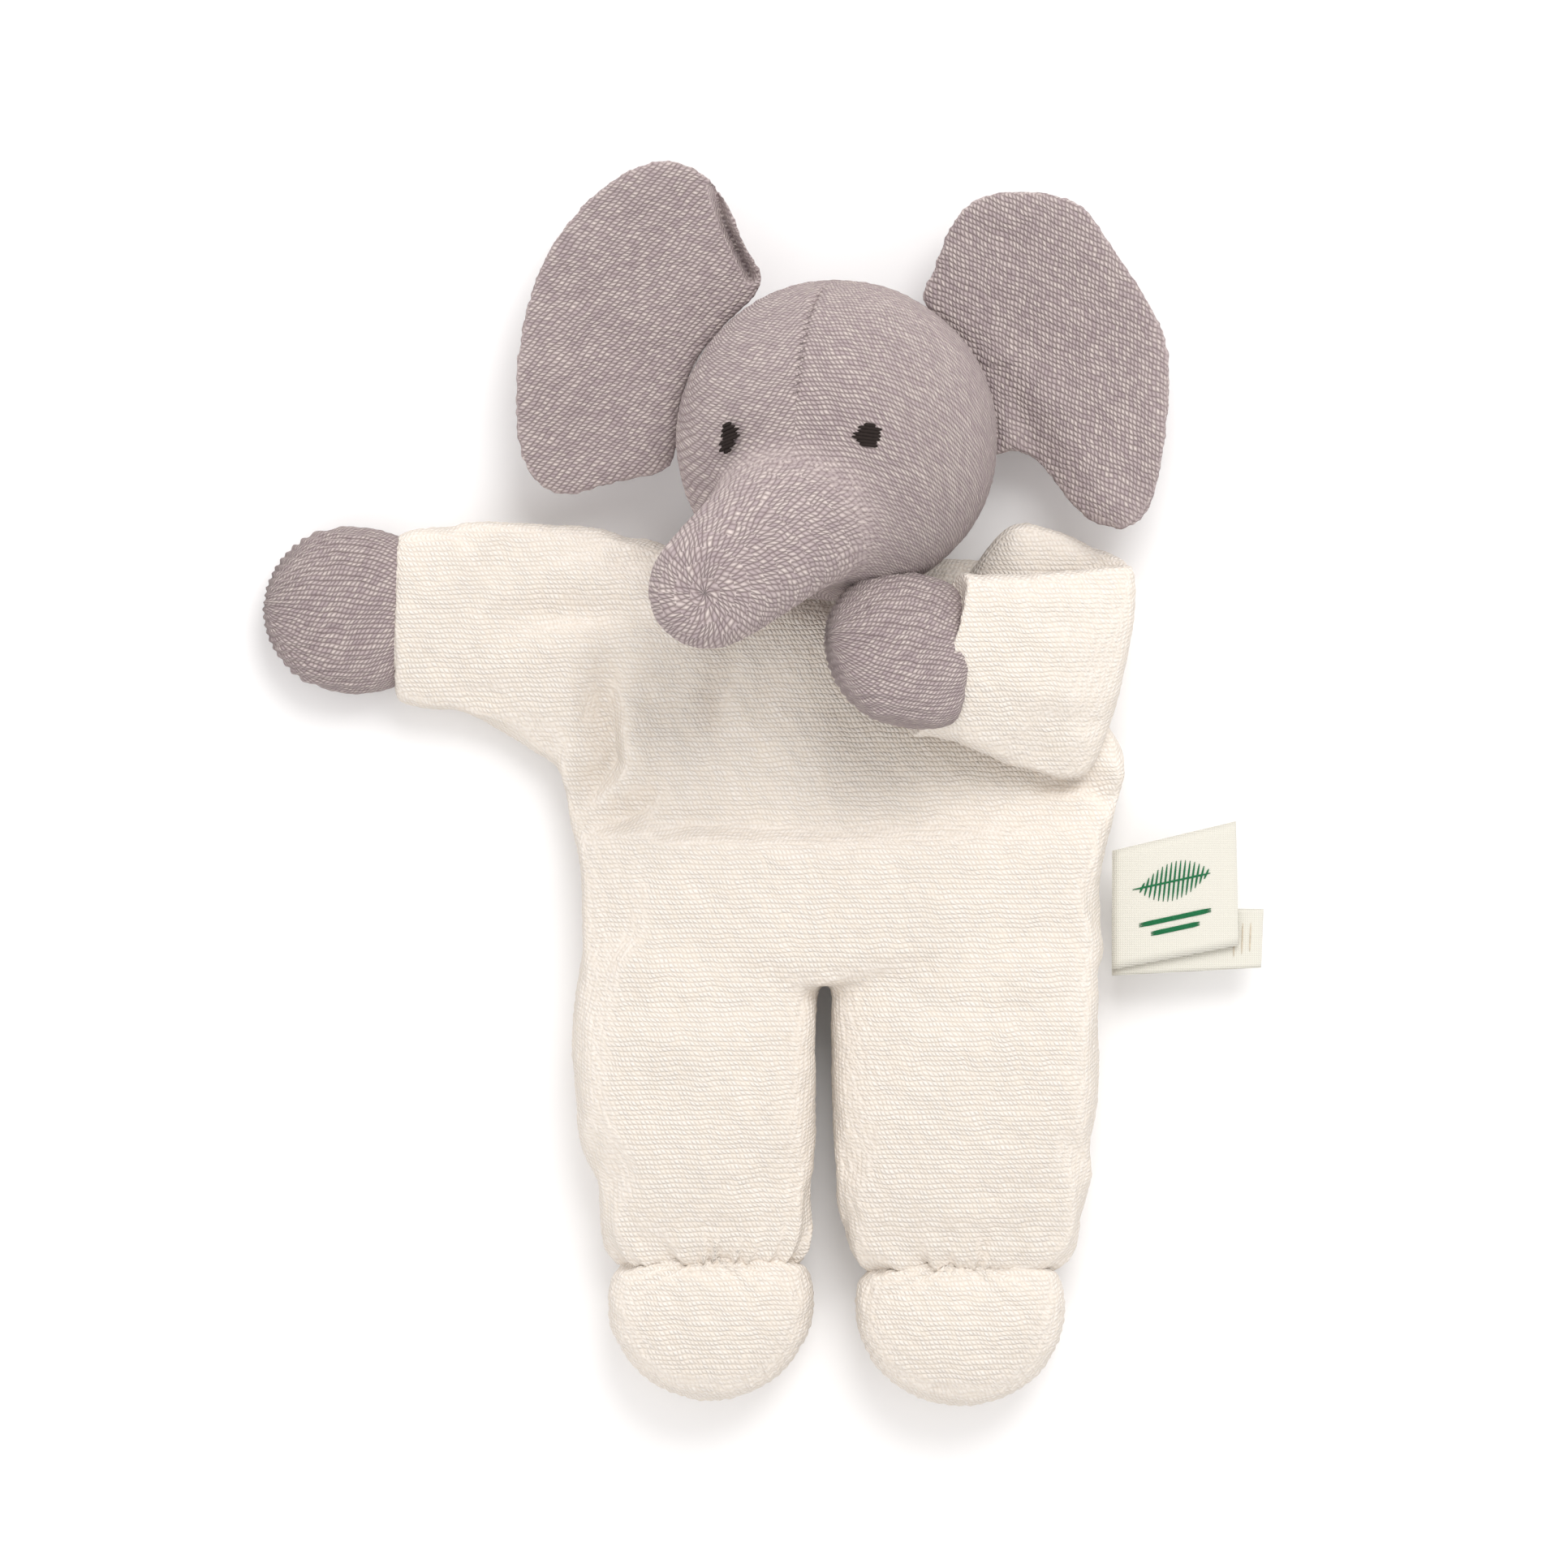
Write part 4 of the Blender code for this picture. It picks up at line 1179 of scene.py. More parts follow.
def trunk_courses(co, middles):
    """Courses round the trunk's end; middles are the centres of the faces that the points are on."""
    offset = co - np.array(TRUNK_END)
    around = middles - np.array(TRUNK_END)
    middle_angle = np.arctan2(around[:, 1], around[:, 0])
    turn = np.arctan2(offset[:, 1], offset[:, 0]) - middle_angle
    angle = middle_angle + np.arctan2(np.sin(turn), np.cos(turn))
    distance = np.linalg.norm(offset, axis=1)
    ring = np.floor(np.hypot(around[:, 0], around[:, 1]) / TRUNK_RING)
    across = angle * (ring + 0.6) * TRUNK_RING * 0.95 + (90 + 7.3 * ring) * MM
    return np.stack([distance * 0.7, across, np.zeros(len(co))], axis=1)


def trunk_reach(co):
    """How far past the trunk's split each point is, in metres."""
    pivot = np.array(joint_place("trunk_lift"))
    return (co - pivot) @ np.array(TRUNK_LINE) - TRUNK_SPLIT


def trunk_side(co):
    """How far inside the trunk's own reach each point is, in metres; below 0 on the rest of the face."""
    root, end = np.array(TRUNK_ROWS[0][0]) * MM, np.array(TRUNK_ROWS[3][0]) * MM
    axis = (end - root) / np.linalg.norm(end - root)
    offset = co - root
    return TRUNK_HALF - np.linalg.norm(offset - np.outer(offset @ axis, axis), axis=1)


def store_courses(mesh, slope):
    co = coordinates(mesh)
    share = smoothstep(-3 * MM, 9 * MM, np.minimum(trunk_reach(co) + 3 * MM, trunk_side(co) * 1.4))
    store_vectors(mesh, {
        "knit_place": face_courses(co, slope),
        "knit_side": np.tile(np.array(UP), (len(co), 1)),
        "knit_mix": np.repeat(share[:, None], 3, axis=1),
    })
    middles = np.repeat(face_centres(mesh).astype(float), corner_counts(mesh), axis=0)
    store_vectors(mesh, {"knit_place_b": trunk_courses(co[corner_points(mesh)], middles)}, "CORNER")


def face_seam_path():
    """Middle seam of the face, from the crown to the trunk."""
    path = []
    for degrees in np.linspace(80, 4, 15):
        angle = math.radians(degrees)
        d = Vector((0, math.sin(angle), math.cos(angle)))
        spot = FACE_TURN @ d
        path.append([HEAD_MIDDLE[k] + spot[k] * HEAD_HALF[k] for k in range(3)])
    return np.array(path)


# Slope of the courses on each half of the face, and the dimple where the trunk's courses meet
FACE_SLOPES = {"right": math.radians(58), "left": math.radians(4)}
DIMPLE_DEPTH = 0.6 * MM
DIMPLE_HALF = 2.2 * MM


def build_head():
    shell = head_shell()
    soften_join(shell)
    subdivide(shell)
    mesh, co, normals = surface(shell)
    co = lumpy(co, normals, 41, 0.6)
    co = crease(co, normals, face_seam_path(), 0.35 * MM, 0.8 * MM, 0.6)
    gap = np.linalg.norm(co - np.array(TRUNK_END), axis=1)
    co = co - normals * (DIMPLE_DEPTH * np.exp(-(gap / DIMPLE_HALF) ** 2))[:, None]
    co = tufts(co, normals, 7, 0.7)
    set_coordinates(mesh, co)
    centres = face_centres(mesh).astype(float)
    past = (trunk_reach(centres) > 0) & (trunk_side(centres) > 1 * MM)
    right_half = face_direction(centres)[:, 0] < 0
    grey = materials()["Grey terry"]
    regions = {
        "head_knit_right": (~past & right_half, FACE_SLOPES["right"]),
        "head_knit_left": (~past & ~right_half, FACE_SLOPES["left"]),
        "trunk_knit": (past, FACE_SLOPES["left"]),
    }
    for name, (keep, slope) in regions.items():
        piece = split_off(shell, name, keep)
        store_courses(piece.data, slope)
        piece.data.materials.append(grey)
    bpy.data.objects.remove(shell)
    for side in ("right", "left"):
        half = bpy.data.objects["head_knit_" + side]
        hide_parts("head_cover_" + side, "head_filling")
        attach(half, "head")
    trunk = bpy.data.objects["trunk_knit"]
    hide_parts("trunk_cover", "trunk_filling")
    pivot = joint_place("trunk_lift")
    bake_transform(trunk, "head", "trunk", pivot + TRUNK_LINE * TRUNK_SPLIT, pivot + TRUNK_LINE * 15 * MM)


# ---- hands and feet ---------------------------------------------------------------------

HAND_ROWS = (
    # out from the wrist, half width, half height
    (-5.0, 13.8, 4.6), (-1.5, 15.8, 6.0), (3.0, 16.6, 6.9), (9.0, 16.6, 7.4), (14.0, 15.6, 7.0),
    (18.0, 13.2, 5.9), (21.0, 10.0, 4.6), (23.2, 6.0, 3.0), (24.2, 2.2, 1.2),
)


# The knit's ribs run lengthwise on the hands
HAND_RIB_PITCH = 1.5 * MM
HAND_RIB_HEIGHT = 0.24 * MM


def limb_frame(heading, roll):
    """Matrix whose columns point along a limb, across it and up."""
    along = Vector(heading).normalized()
    across = UP.cross(along).normalized()
    up = along.cross(across)
    turn = Matrix.Rotation(roll, 3, along)
    across, up = turn @ across, turn @ up
    return Matrix((along, across, up)).transposed()


def hand_mesh(name, wrist, heading, roll, width):
    frame_matrix = limb_frame(heading, roll)
    along, across, up = (Vector(frame_matrix.col[k]) for k in range(3))
    rows = []
    for out, wide, high in HAND_ROWS:
        centre = wrist + along * out * MM
        rows.append([*centre, *(across * wide * width * MM), *(up * high * MM), 0.88])
    obj = even_mesh(name, tube(np.array(rows), steps=4, sides=64), 8)
    subdivide(obj)
    mesh, co, normals = surface(obj)
    # In the hand's own frame: along it, across it and up
    local = (co - np.array(wrist)) @ np.array(frame_matrix)
    ribs = np.cos(2 * np.pi * local[:, 1] / HAND_RIB_PITCH + 1.5 * noise_field(co, 14 * MM, 5))
    tip = smoothstep(-2 * MM, 4 * MM, local[:, 0])
    co = co + normals * (ribs * HAND_RIB_HEIGHT * tip)[:, None]
    co = lumpy(co, normals, 51, 0.5)
    set_coordinates(mesh, settle(co))
    rib_pattern(mesh, local)
    roughened(mesh, 9, 0.8)
    return obj


def rib_pattern(mesh, local):
    """Loops in ribs that run along the limb."""
    girth = np.arctan2(local[:, 2] * 2.2, local[:, 1])
    place = np.stack([local[:, 0], girth * 11 * MM * 1.35, np.zeros(len(local))], axis=1)
    store_vectors(mesh, {"knit_place": place, "knit_side": np.tile(np.array(UP), (len(local), 1))})


HANDS = {
    # wrist, direction, roll, share of the full width
    "right": (Vector((-91.0, 46.6, 9.2)) * MM, (-1, 0.08, 0), 0.0, 1.0),
    "left": (Vector((20.2, 37.6, 37.2)) * MM, (-1, 0.18, 0.36), math.radians(20), 0.96),
}


def build_hands():
    grey = materials()["Grey terry"]
    for side, (wrist, heading, roll, width) in HANDS.items():
        hand = hand_mesh("hand_knit_" + side, wrist, heading, roll, width)
        finish_surface(hand, grey)
        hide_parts("hand_mitt_" + side, "hand_filling_" + side)
        along = Vector(heading).normalized()
        pivot = joint_place("wrist_" + side)
        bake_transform(hand, "lower_arm_" + side, "hand_" + side,
                 pivot - along * 1.5 * MM, pivot + along * 5 * MM)


FOOT_ROWS = {
    # along the foot, centre across, half width, half height
    "right": ((-80.5, -25.2, 13.6, 6.0), (-83.0, -25.2, 16.4, 8.2), (-86.5, -25.2, 19.8, 11.0),
              (-91.0, -25.2, 20.7, 12.2), (-97.0, -25.2, 19.9, 12.2), (-102.5, -25.2, 17.4, 11.4),
              (-107.0, -25.2, 13.2, 9.4), (-110.0, -25.2, 8.2, 6.2), (-111.6, -25.2, 3.0, 2.4)),
    "left": ((-81.5, 24.9, 14.0, 6.0), (-84.0, 24.9, 16.8, 8.2), (-87.5, 24.9, 20.2, 11.0),
             (-92.0, 24.9, 21.1, 12.2), (-98.0, 24.9, 20.3, 12.2), (-103.5, 24.9, 17.8, 11.4),
             (-108.2, 24.9, 13.4, 9.4), (-111.2, 24.9, 8.4, 6.2), (-112.8, 24.9, 3.0, 2.4)),
}


# Height of the feet's middle, in millimetres
FOOT_LEVEL = 12.6


def build_feet():
    cream = materials()["Cream terry"]
    for side in ("right", "left"):
        rows = scaled_stations([
            station((x, y, FOOT_LEVEL), (wide, 0, 0), (0, 0, high), 0.88)
            for y, x, wide, high in FOOT_ROWS[side]])
        foot = even_mesh("foot_terry_" + side, tube(rows, steps=4, sides=72), 6)
        subdivide(foot)
        shape_foot(foot, side)
        finish_surface(foot, cream)
        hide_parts("foot_cover_" + side, "foot_filling_" + side)
        pivot = joint_place("ankle_" + side)
        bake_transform(foot, "leg_" + side, "foot_" + side,
                 pivot + ACROSS_Y * 2.5 * MM, pivot - ACROSS_Y * 6 * MM)


def shape_foot(foot, side):
    """Ribs that fan out from the heel, faint arcs across them, and gathers at the tie."""
    mesh, co, normals = surface(foot)
    heel = FOOT_ROWS[side][1]
    top = heel[0] * MM
    centre = np.array((heel[1], heel[0] + 2, FOOT_LEVEL)) * MM
    co = lumpy(co, normals, 61, 0.6)
    radial = co - centre
    angle = np.arctan2(radial[:, 0], -radial[:, 1])
    reach = np.linalg.norm(radial[:, :2], axis=1)
    edge = smoothstep(14 * MM, 28 * MM, reach)
    ribs = np.cos(angle * 24 * MM * 2 * np.pi / (1.7 * MM) + 2 * noise_field(co, 9 * MM, 8))
    co = co + normals * (ribs * 0.10 * MM * edge)[:, None]
    arcs = np.cos(reach * 2 * np.pi / (3.6 * MM))
    co = co + normals * (arcs * 0.07 * MM)[:, None]
    spot = np.stack([np.cos(angle) * 3.6, np.sin(angle) * 3.6, radial[:, 2] / (16 * MM)], axis=1)
    fall = np.exp(-np.maximum(top - co[:, 1], 0) / (4.5 * MM))
    co = co + normals * (noise_field(spot, 0.45, 66) * 1.1 * MM * fall)[:, None]
    napped(mesh, co, 13, 0.9)


# ---- ears -----------------------------------------------------------------------------------

EAR_OUTLINES = {
    # free edge, then back along the root on the head, in millimetres
    "right": ((-14.5, 112.5), (-18.5, 121.0), (-21.0, 127.5), (-26.0, 134.2), (-33.0, 137.2), (-41.5, 135.4),
              (-50.0, 129.2), (-57.0, 120.4), (-61.6, 110.0), (-64.0, 97.5), (-64.4, 85.5), (-63.0, 76.5),
              (-59.0, 71.2), (-53.8, 69.6), (-44.5, 72.0), (-34.5, 74.5), (-31.6, 80.0), (-31.0, 88.0),
              (-27.6, 97.0), (-22.0, 104.0)),
    "left": ((31.0, 77.6), (35.0, 78.6), (40.0, 76.6), (43.6, 72.6), (47.6, 67.0), (52.0, 63.9), (57.6, 62.9),
             (62.2, 65.8), (65.0, 74.5), (66.7, 86.5), (66.9, 96.9), (65.0, 104.6), (61.0, 111.4),
             (54.6, 121.2), (48.6, 128.6), (39.5, 131.0), (29.6, 130.2), (23.4, 125.2), (19.6, 116.6),
             (17.0, 109.0), (22.6, 102.4), (28.0, 94.0), (31.0, 86.0)),
}
EAR_MIDDLE = {"right": (-44.0, 103.0), "left": (46.0, 97.0)}
# Slope of the rows of loops, in degrees
EAR_ROWS = {"right": 48.0, "left": -24.0}
# Height of the ear's middle layer and half its thickness, in millimetres
EAR_LEVEL = 17.0
EAR_HALF_THICKNESS = 2.3


def pillow(outline, middle, level, half, rings=14, flatness=7.0):
    """Closed flat shape with a rounded rim, spread out from its middle."""
    rim = closed_curve(outline, 6)
    count = len(rim)
    middle = np.array(middle, float)
    points, faces = [], []
    shares = [math.sin(math.pi / 2 * (k + 1) / rings) for k in range(rings)]
    for way in (1, -1):
        for share in shares:
            height = half * max(1 - share**flatness, 0) ** 0.5
            for p in middle + (rim - middle) * share:
                points.append((p[0] * MM, p[1] * MM, (level + way * height) * MM))
    per_side = rings * count
    for base in (0, per_side):
        for i in range(rings - 1):
            low, high = base + i * count, base + (i + 1) * count
            for k in range(count):
                n = (k + 1) % count
                faces.append((low + k, low + n, high + n, high + k))
        faces.append(tuple(base + k for k in range(count)))
    for k in range(count):
        n = (k + 1) % count
        a, b = (rings - 1) * count + k, (rings - 1) * count + n
        faces.append((a, b, b + per_side, a + per_side))
    return np.array(points), faces


# On the right ear, the line of the rolled edge and of the hollow beside it, in millimetres
ROLL_LINE = ((-13, 110), (-17, 119), (-21.5, 127.5))
HOLLOW_LINE = ((-24.5, 131.5), (-22.3, 124.5), (-19.0, 117.5), (-17.0, 113.5))


def ear_waves_right(co):
    """Right ear: dished, with its upper inner edge rolled forward."""
    x, y = co[:, 0] / MM, co[:, 1] / MM
    roll, _ = distance_to_path(co[:, :2] / MM, ROLL_LINE)
    slit, _ = distance_to_path(co[:, :2] / MM, HOLLOW_LINE)
    lift = 2.0 * np.exp(-(roll / 3.0) ** 2) - 4.4 * np.exp(-(slit / 1.0) ** 2)
    rim = 1.6 * smoothstep(-52, -64, x) + 1.2 * smoothstep(124, 137, y)
    dish = -1.6 * np.exp(-(((x + 44) / 15) ** 2 + ((y - 98) / 20) ** 2))
    wave = 0.9 * np.sin(y / 7.0 + 0.6) * smoothstep(-50, -64, x)
    return (lift + rim + dish + wave) * MM


def ear_waves_left(co):
    """Left ear: wavy outer edge, and a lower edge that arches up."""
    x, y = co[:, 0] / MM, co[:, 1] / MM
    arch = 3.4 * np.exp(-(((x - 52) / 9) ** 2 + ((y - 65) / 8) ** 2))
    fold = -2.2 * np.exp(-((((x - 43) + 0.7 * (y - 76)) / 4.5) ** 2)) * (y < 96)
    wave = 1.3 * np.sin(y / 6.0 + 1.0) * smoothstep(50, 66, x)
    rim = 1.4 * smoothstep(120, 131, y)
    dish = -1.3 * np.exp(-(((x - 46) / 14) ** 2 + ((y - 102) / 18) ** 2))
    return (arch + fold + wave + rim + dish) * MM


def build_ears():
    grey = materials()["Grey terry"]
    waves = {"right": ear_waves_right, "left": ear_waves_left}
    for side, seed in (("right", 71), ("left", 81)):
        flat_ear = pillow(EAR_OUTLINES[side], EAR_MIDDLE[side], EAR_LEVEL, EAR_HALF_THICKNESS)
        ear = even_mesh("ear_terry_" + side, flat_ear, 4)
        subdivide(ear)
        mesh = ear.data
        co = coordinates(mesh)
        root = np.linalg.norm(co[:, :2] - np.array(HEAD_MIDDLE)[:2], axis=1)
        free = smoothstep(31 * MM, 40 * MM, root)
        co[:, 2] += waves[side](co) * free + noise_field(co, 12 * MM, seed) * 0.9 * MM * free
        set_coordinates(mesh, co)
        keep_rest_pattern(mesh, Matrix.Rotation(math.radians(EAR_ROWS[side]), 3, "Z"))
        set_coordinates(mesh, tufts(co, vertex_normals(mesh), seed + 1, 1.0))
        finish_surface(ear, grey)
        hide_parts("ear_front_" + side, "ear_back_" + side)
        hinge = joint_place("ear_fold_" + side)
        out = Vector((hinge.x - HEAD_MIDDLE.x, hinge.y - HEAD_MIDDLE.y, 0)).normalized()
        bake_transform(ear, "head", "ear_" + side, hinge - out * 1.5 * MM, hinge + out * 7 * MM)


# ---- thread work ------------------------------------------------------------------------------


def strand(path, radius, sides=8):
    """Closed thread along a path, thinner at its ends."""
    path = np.array(path, float)
    rows = []
    for k, p in enumerate(path):
        before, after = path[max(k - 1, 0)], path[min(k + 1, len(path) - 1)]
        axis = Vector(after - before).normalized()
        side = axis.orthogonal().normalized()
        if abs(axis.dot(UP)) < 0.9:
            side = axis.cross(UP).normalized()
        up = side.cross(axis)
        thin = 0.35 if k in (0, len(path) - 1) else 1.0
        rows.append([*p, *(side * radius * thin), *(up * radius * thin), 1.0])
    return tube(np.array(rows), steps=2, sides=sides)


def head_spot(longitude, latitude, lift=0.0):
    """Point on the head at an angle across and up from the middle of the face."""
    d = Vector((math.sin(longitude) * math.cos(latitude), math.sin(latitude),
                math.cos(longitude) * math.cos(latitude)))
    spot = FACE_TURN @ d
    return [HEAD_MIDDLE[k] + spot[k] * (HEAD_HALF[k] + lift) for k in range(3)]


EYES = {
    # longitude, latitude, half width and half height in degrees, slope of the stitches and their number
    "right": (-26.2, -0.6, 4.0, 5.2, 0.35, 8),
    "left": (26.0, 0.0, 5.4, 4.0, -0.12, 7),
}


EYE_THREAD = 0.40 * MM


def build_eyes():
    dark = materials()["Dark thread"]
    for side, (lon, lat, wide, high, slope, count) in EYES.items():
        strokes = []
        for k in range(count):
            share = (k + 0.5) / count * 2 - 1
            reach = wide * math.sqrt(1 - 0.98 * share * share)
            reach *= 1 + 0.24 * math.sin(9.1 * k + lon)
            shift = 0.7 * math.sin(5.3 * k + lat)
            path = []
            for t in np.linspace(-1, 1, 7):
                lift = 0.35 * (1 - t * t) + 0.05
                longitude = math.radians(lon + shift + reach * t)
                latitude = math.radians(lat + share * high + slope * reach * t)
                path.append(head_spot(longitude, latitude, lift * MM + 0.10 * MM))
            strokes.append(strand(path, EYE_THREAD))
        eye = new_object("eye_stitches_" + side, *merged(*strokes))
        finish_surface(eye, dark)
        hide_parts("eye_" + side)
        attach(eye, "head")


def build_head_stitches():
    """Small hidden stitches that close the middle seam of the face."""
    strokes = []
    for k, degrees in enumerate(np.linspace(76, 16, 19)):
        lean = 1.5 if k % 2 else 0.7
        low, high = math.radians(degrees - lean), math.radians(degrees + lean)
        reach = math.radians(1.7)
        path = [head_spot(reach * t, low + (high - low) * (t + 1) / 2, (-0.15 - 0.45 * abs(t)) * MM)
                for t in (-1, -0.4, 0.4, 1)]
        strokes.append(strand(path, 0.24 * MM, 6))
    seam = new_object("face_seam_stitches", *merged(*strokes))
    finish_surface(seam, materials()["Grey terry"])
    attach(seam, "head")


# Turns of a tie thread, and steps in each turn
TIE_TURNS = 2
TIE_STEPS = 48


def thread_ring(name, centre, wide, high, radius, seed):
    """Tie thread wound round a gather a few times, not quite even."""
    strokes = []
    for turn in range(TIE_TURNS):
        middle = centre[1] + (turn - (TIE_TURNS - 1) / 2) * radius * 1.9
        path = []
        for k in range(TIE_STEPS + 1):
            angle = 2 * math.pi * k / TIE_STEPS * 0.995
            wobble = 0.25 * math.sin(3 * angle + seed + turn) * radius
            side = math.copysign(abs(math.cos(angle)) ** 0.85, math.cos(angle))
            rise = math.copysign(abs(math.sin(angle)) ** 0.85, math.sin(angle))
            path.append((centre[0] + side * wide, middle + wobble, centre[2] + rise * high))
        strokes.append(strand(path, radius, 6))
    return new_object(name, *merged(*strokes))


TIES = (
    # piece, its node in the frame, its body, how far inside the node's box it runs, thread radius, seed
    ("ankle_tie_right", "ankle_thread_right", "leg_right", 0.5, 0.34, 3),
    ("ankle_tie_left", "ankle_thread_left", "leg_left", 0.5, 0.34, 3),
    ("neck_tie", "neck_tie_thread", "neck", 0.6, 0.4, 5),
)


def build_ties():
    thread = materials()["Cream thread"]
    for name, node, body, inset, radius, seed in TIES:
        low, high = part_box(node)
        half = (high - low) / 2
        ring = thread_ring(
            name, (low + high) / 2, half.x - inset * MM, half.z - inset * MM, radius * MM, seed)
        finish_surface(ring, thread)
        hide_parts(node)
        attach(ring, body)


# Share of the neck's height, and radius there in millimetres
NECK_ROWS = ((0, 4.8), (0.15, 5.4), (0.35, 5.2), (0.5, 5.8), (0.7, 6.2), (0.9, 4.6), (1.0, 2.6))


def build_neck():
    """Gathered knit between body and head, with soft pleats."""
    low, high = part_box("neck_stalk")
    centre = (low + high) / 2
    rows = []
    for share, radius in NECK_ROWS:
        y = low.y + (high.y - low.y) * share
        rows.append([centre.x, y, centre.z, radius * MM, 0, 0, 0, 0, -radius * MM, 1.0])
    points, faces = tube(np.array(rows), steps=5, sides=72)
    angle = np.arctan2(points[:, 2] - centre.z, points[:, 0] - centre.x)
    pleat = 1 + 0.06 * np.cos(11 * angle + 0.7 * np.sin(3 * angle))
    points[:, 0] = centre.x + (points[:, 0] - centre.x) * pleat
    points[:, 2] = centre.z + (points[:, 2] - centre.z) * pleat
    neck = new_object("neck_gather", points, faces)
    finish_surface(neck, materials()["Grey terry"])
    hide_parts("neck_stalk")
    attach(neck, "neck")


# ---- labels -------------------------------------------------------------------------------------

LABELS = {
    # corners in millimetres: at the seam low and high, at the outer end high and low; heights of the
    # two layers; height of the ribbon's wave
    "front": (((55.4, -25.2), (55.4, -1.3), (80.2, 4.6), (80.7, -20.3)), (12.4, 11.75), 0.5),
    "back": (((55.4, -26.4), (55.4, -12.8), (85.8, -13.0), (85.3, -24.8)), (11.0, 10.4), 0.35),
}
# Thickness of the ribbon, and about the length of one of its layers, in millimetres
RIBBON = 0.22
RIBBON_REACH = 26


def ribbon_points(corners, heights, wave, steps=16, across=14):
    """Centre surface of a ribbon folded over at its outer end: out on top, back underneath."""
    low_in, high_in, high_out, low_out = (np.array(c, float) for c in corners)
    bend = (heights[0] - heights[1]) / 2
    rows = []
    for layer in (0, 1):
        shares = np.linspace(0, 1, steps) if layer == 0 else np.linspace(1, 0, steps)
        for share in shares:
            rows.append((share * (1 - bend / RIBBON_REACH), heights[layer], share))
        if layer == 0:
            for degrees in (45, 90, 135):
                angle = math.radians(degrees)
                rows.append((1 - bend / RIBBON_REACH + bend / RIBBON_REACH * math.sin(angle),
                             (heights[0] + heights[1]) / 2 + bend * math.cos(angle), 1))
    grid = []
    for share, level, curl in rows:
        for k in range(across):
            t = k / (across - 1)
            start = low_in + (high_in - low_in) * t
            end = low_out + (high_out - low_out) * t
            p = start + (end - start) * share
            lift = wave * math.sin(curl * 2.6 + t * 1.9) * curl
            grid.append((p[0] * MM, p[1] * MM, (level + lift) * MM))
    return np.array(grid), len(rows), across


def thick_sheet(name, grid, rows, across, thickness):
    """Closed thin body round a grid of centre points."""
    faces = []
    for i in range(rows - 1):
        for k in range(across - 1):
            faces.append((i * across + k, i * across + k + 1, (i + 1) * across + k + 1, (i + 1) * across + k))
    obj = new_object(name, grid, faces)
    solid = obj.modifiers.new("ribbon", "SOLIDIFY")
    solid.thickness = thickness
    solid.offset = 0
    apply_modifiers(obj)
    return obj


def label_lift(x, y, corners, wave, level):
    """Height of the label's top layer over a point of its plan, in millimetres."""
    low_in, high_in, high_out, low_out = (np.array(c, float) for c in corners)
    middle_in, middle_out = (low_in + high_in) / 2, (low_out + high_out) / 2
    axis = middle_out - middle_in
    curl = float(np.clip((np.array((x, y)) - middle_in) @ axis / (axis @ axis), 0, 1))
    side = high_out - low_out
    t = float(np.clip(0.5 + (np.array((x, y)) - middle_in - axis * curl) @ side / (side @ side), 0, 1))
    return level + wave * math.sin(curl * 2.6 + t * 1.9) * curl + RIBBON / 2


def motif(name, strokes, corners, wave, level, radius):
    """Raised embroidery that follows the label's surface; strokes are plan paths in millimetres."""
    solids = []
    for stroke in strokes:
        path = [(x * MM, y * MM, (label_lift(x, y, corners, wave, level) + radius * 0.4) * MM)
                for x, y in stroke]
        solids.append(strand(path, radius * MM, 6))
    return new_object(name, *merged(*solids))


def label_axes(corners):
    low_in, high_in, high_out, low_out = (np.array(c, float) for c in corners)
    along = (high_out + low_out) / 2 - (high_in + low_in) / 2
    up = (high_out - low_out) / np.linalg.norm(high_out - low_out)
    middle = (low_in + high_in + high_out + low_out) / 4
    return middle, along / np.linalg.norm(along), up


# The leaf on the front label, in millimetres from the label's middle
LEAF_LEVEL = 3.2
LEAF_HALF = 6.6
LEAF_VEINS = 15


def leaf_strokes(corners):
    """A plain leaf with its midrib, over two short bars."""
    middle, along, up = label_axes(corners)

    def spot(a, b):
        return tuple(middle + along * a + up * b)

    strokes = []
    for k in range(LEAF_VEINS):
        a = LEAF_HALF * (2 * k / (LEAF_VEINS - 1) - 1)
        reach = 3.9 * math.sin(math.pi * (k + 0.8) / (LEAF_VEINS + 0.6)) ** 0.8
        strokes.append([spot(a + 0.5 * t, LEAF_LEVEL + reach * t)
                        for t in np.linspace(-1, 1, 5) if abs(t) > 0.12])
    strokes.append([spot(a, LEAF_LEVEL) for a in np.linspace(-8.6, 7.4, 9)])
    for b, reach in ((-4.2, 7.4), (-6.4, 5.0)):
        for step in (-0.3, 0, 0.3):
            strokes.append([spot(a, b + step) for a in np.linspace(-reach, reach, 9)])
    return strokes


def bar_strokes(corners):
    """Plain short bars near the outer end."""
    middle, along, up = label_axes(corners)
    return [[tuple(middle + along * (9.5 + 1.6 * k) + up * b) for b in np.linspace(-3.6 + 0.5 * k, 3.2, 6)]
            for k in range(3)]


def build_labels():
    look = materials()
    strokes = {"front": (leaf_strokes, "Green weave", 0.2), "back": (bar_strokes, "Cream thread", 0.15)}
    for which, (corners, heights, wave) in LABELS.items():
        grid, rows, across = ribbon_points(corners, heights, wave)
        label = thick_sheet("label_ribbon_" + which, grid, rows, across, RIBBON * MM)
        finish_surface(label, look["Ribbon"])
        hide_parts("seam_label_" + which)
        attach(label, "label_" + which)
        make, colour, radius = strokes[which]
        print_work = motif("label_motif_" + which, make(corners), corners, wave, heights[0], radius)
        finish_surface(print_work, look[colour])
        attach(print_work, "label_" + which)
        side = np.array(corners, float)


# ---- stage ----------------------------------------------------------------------------------------

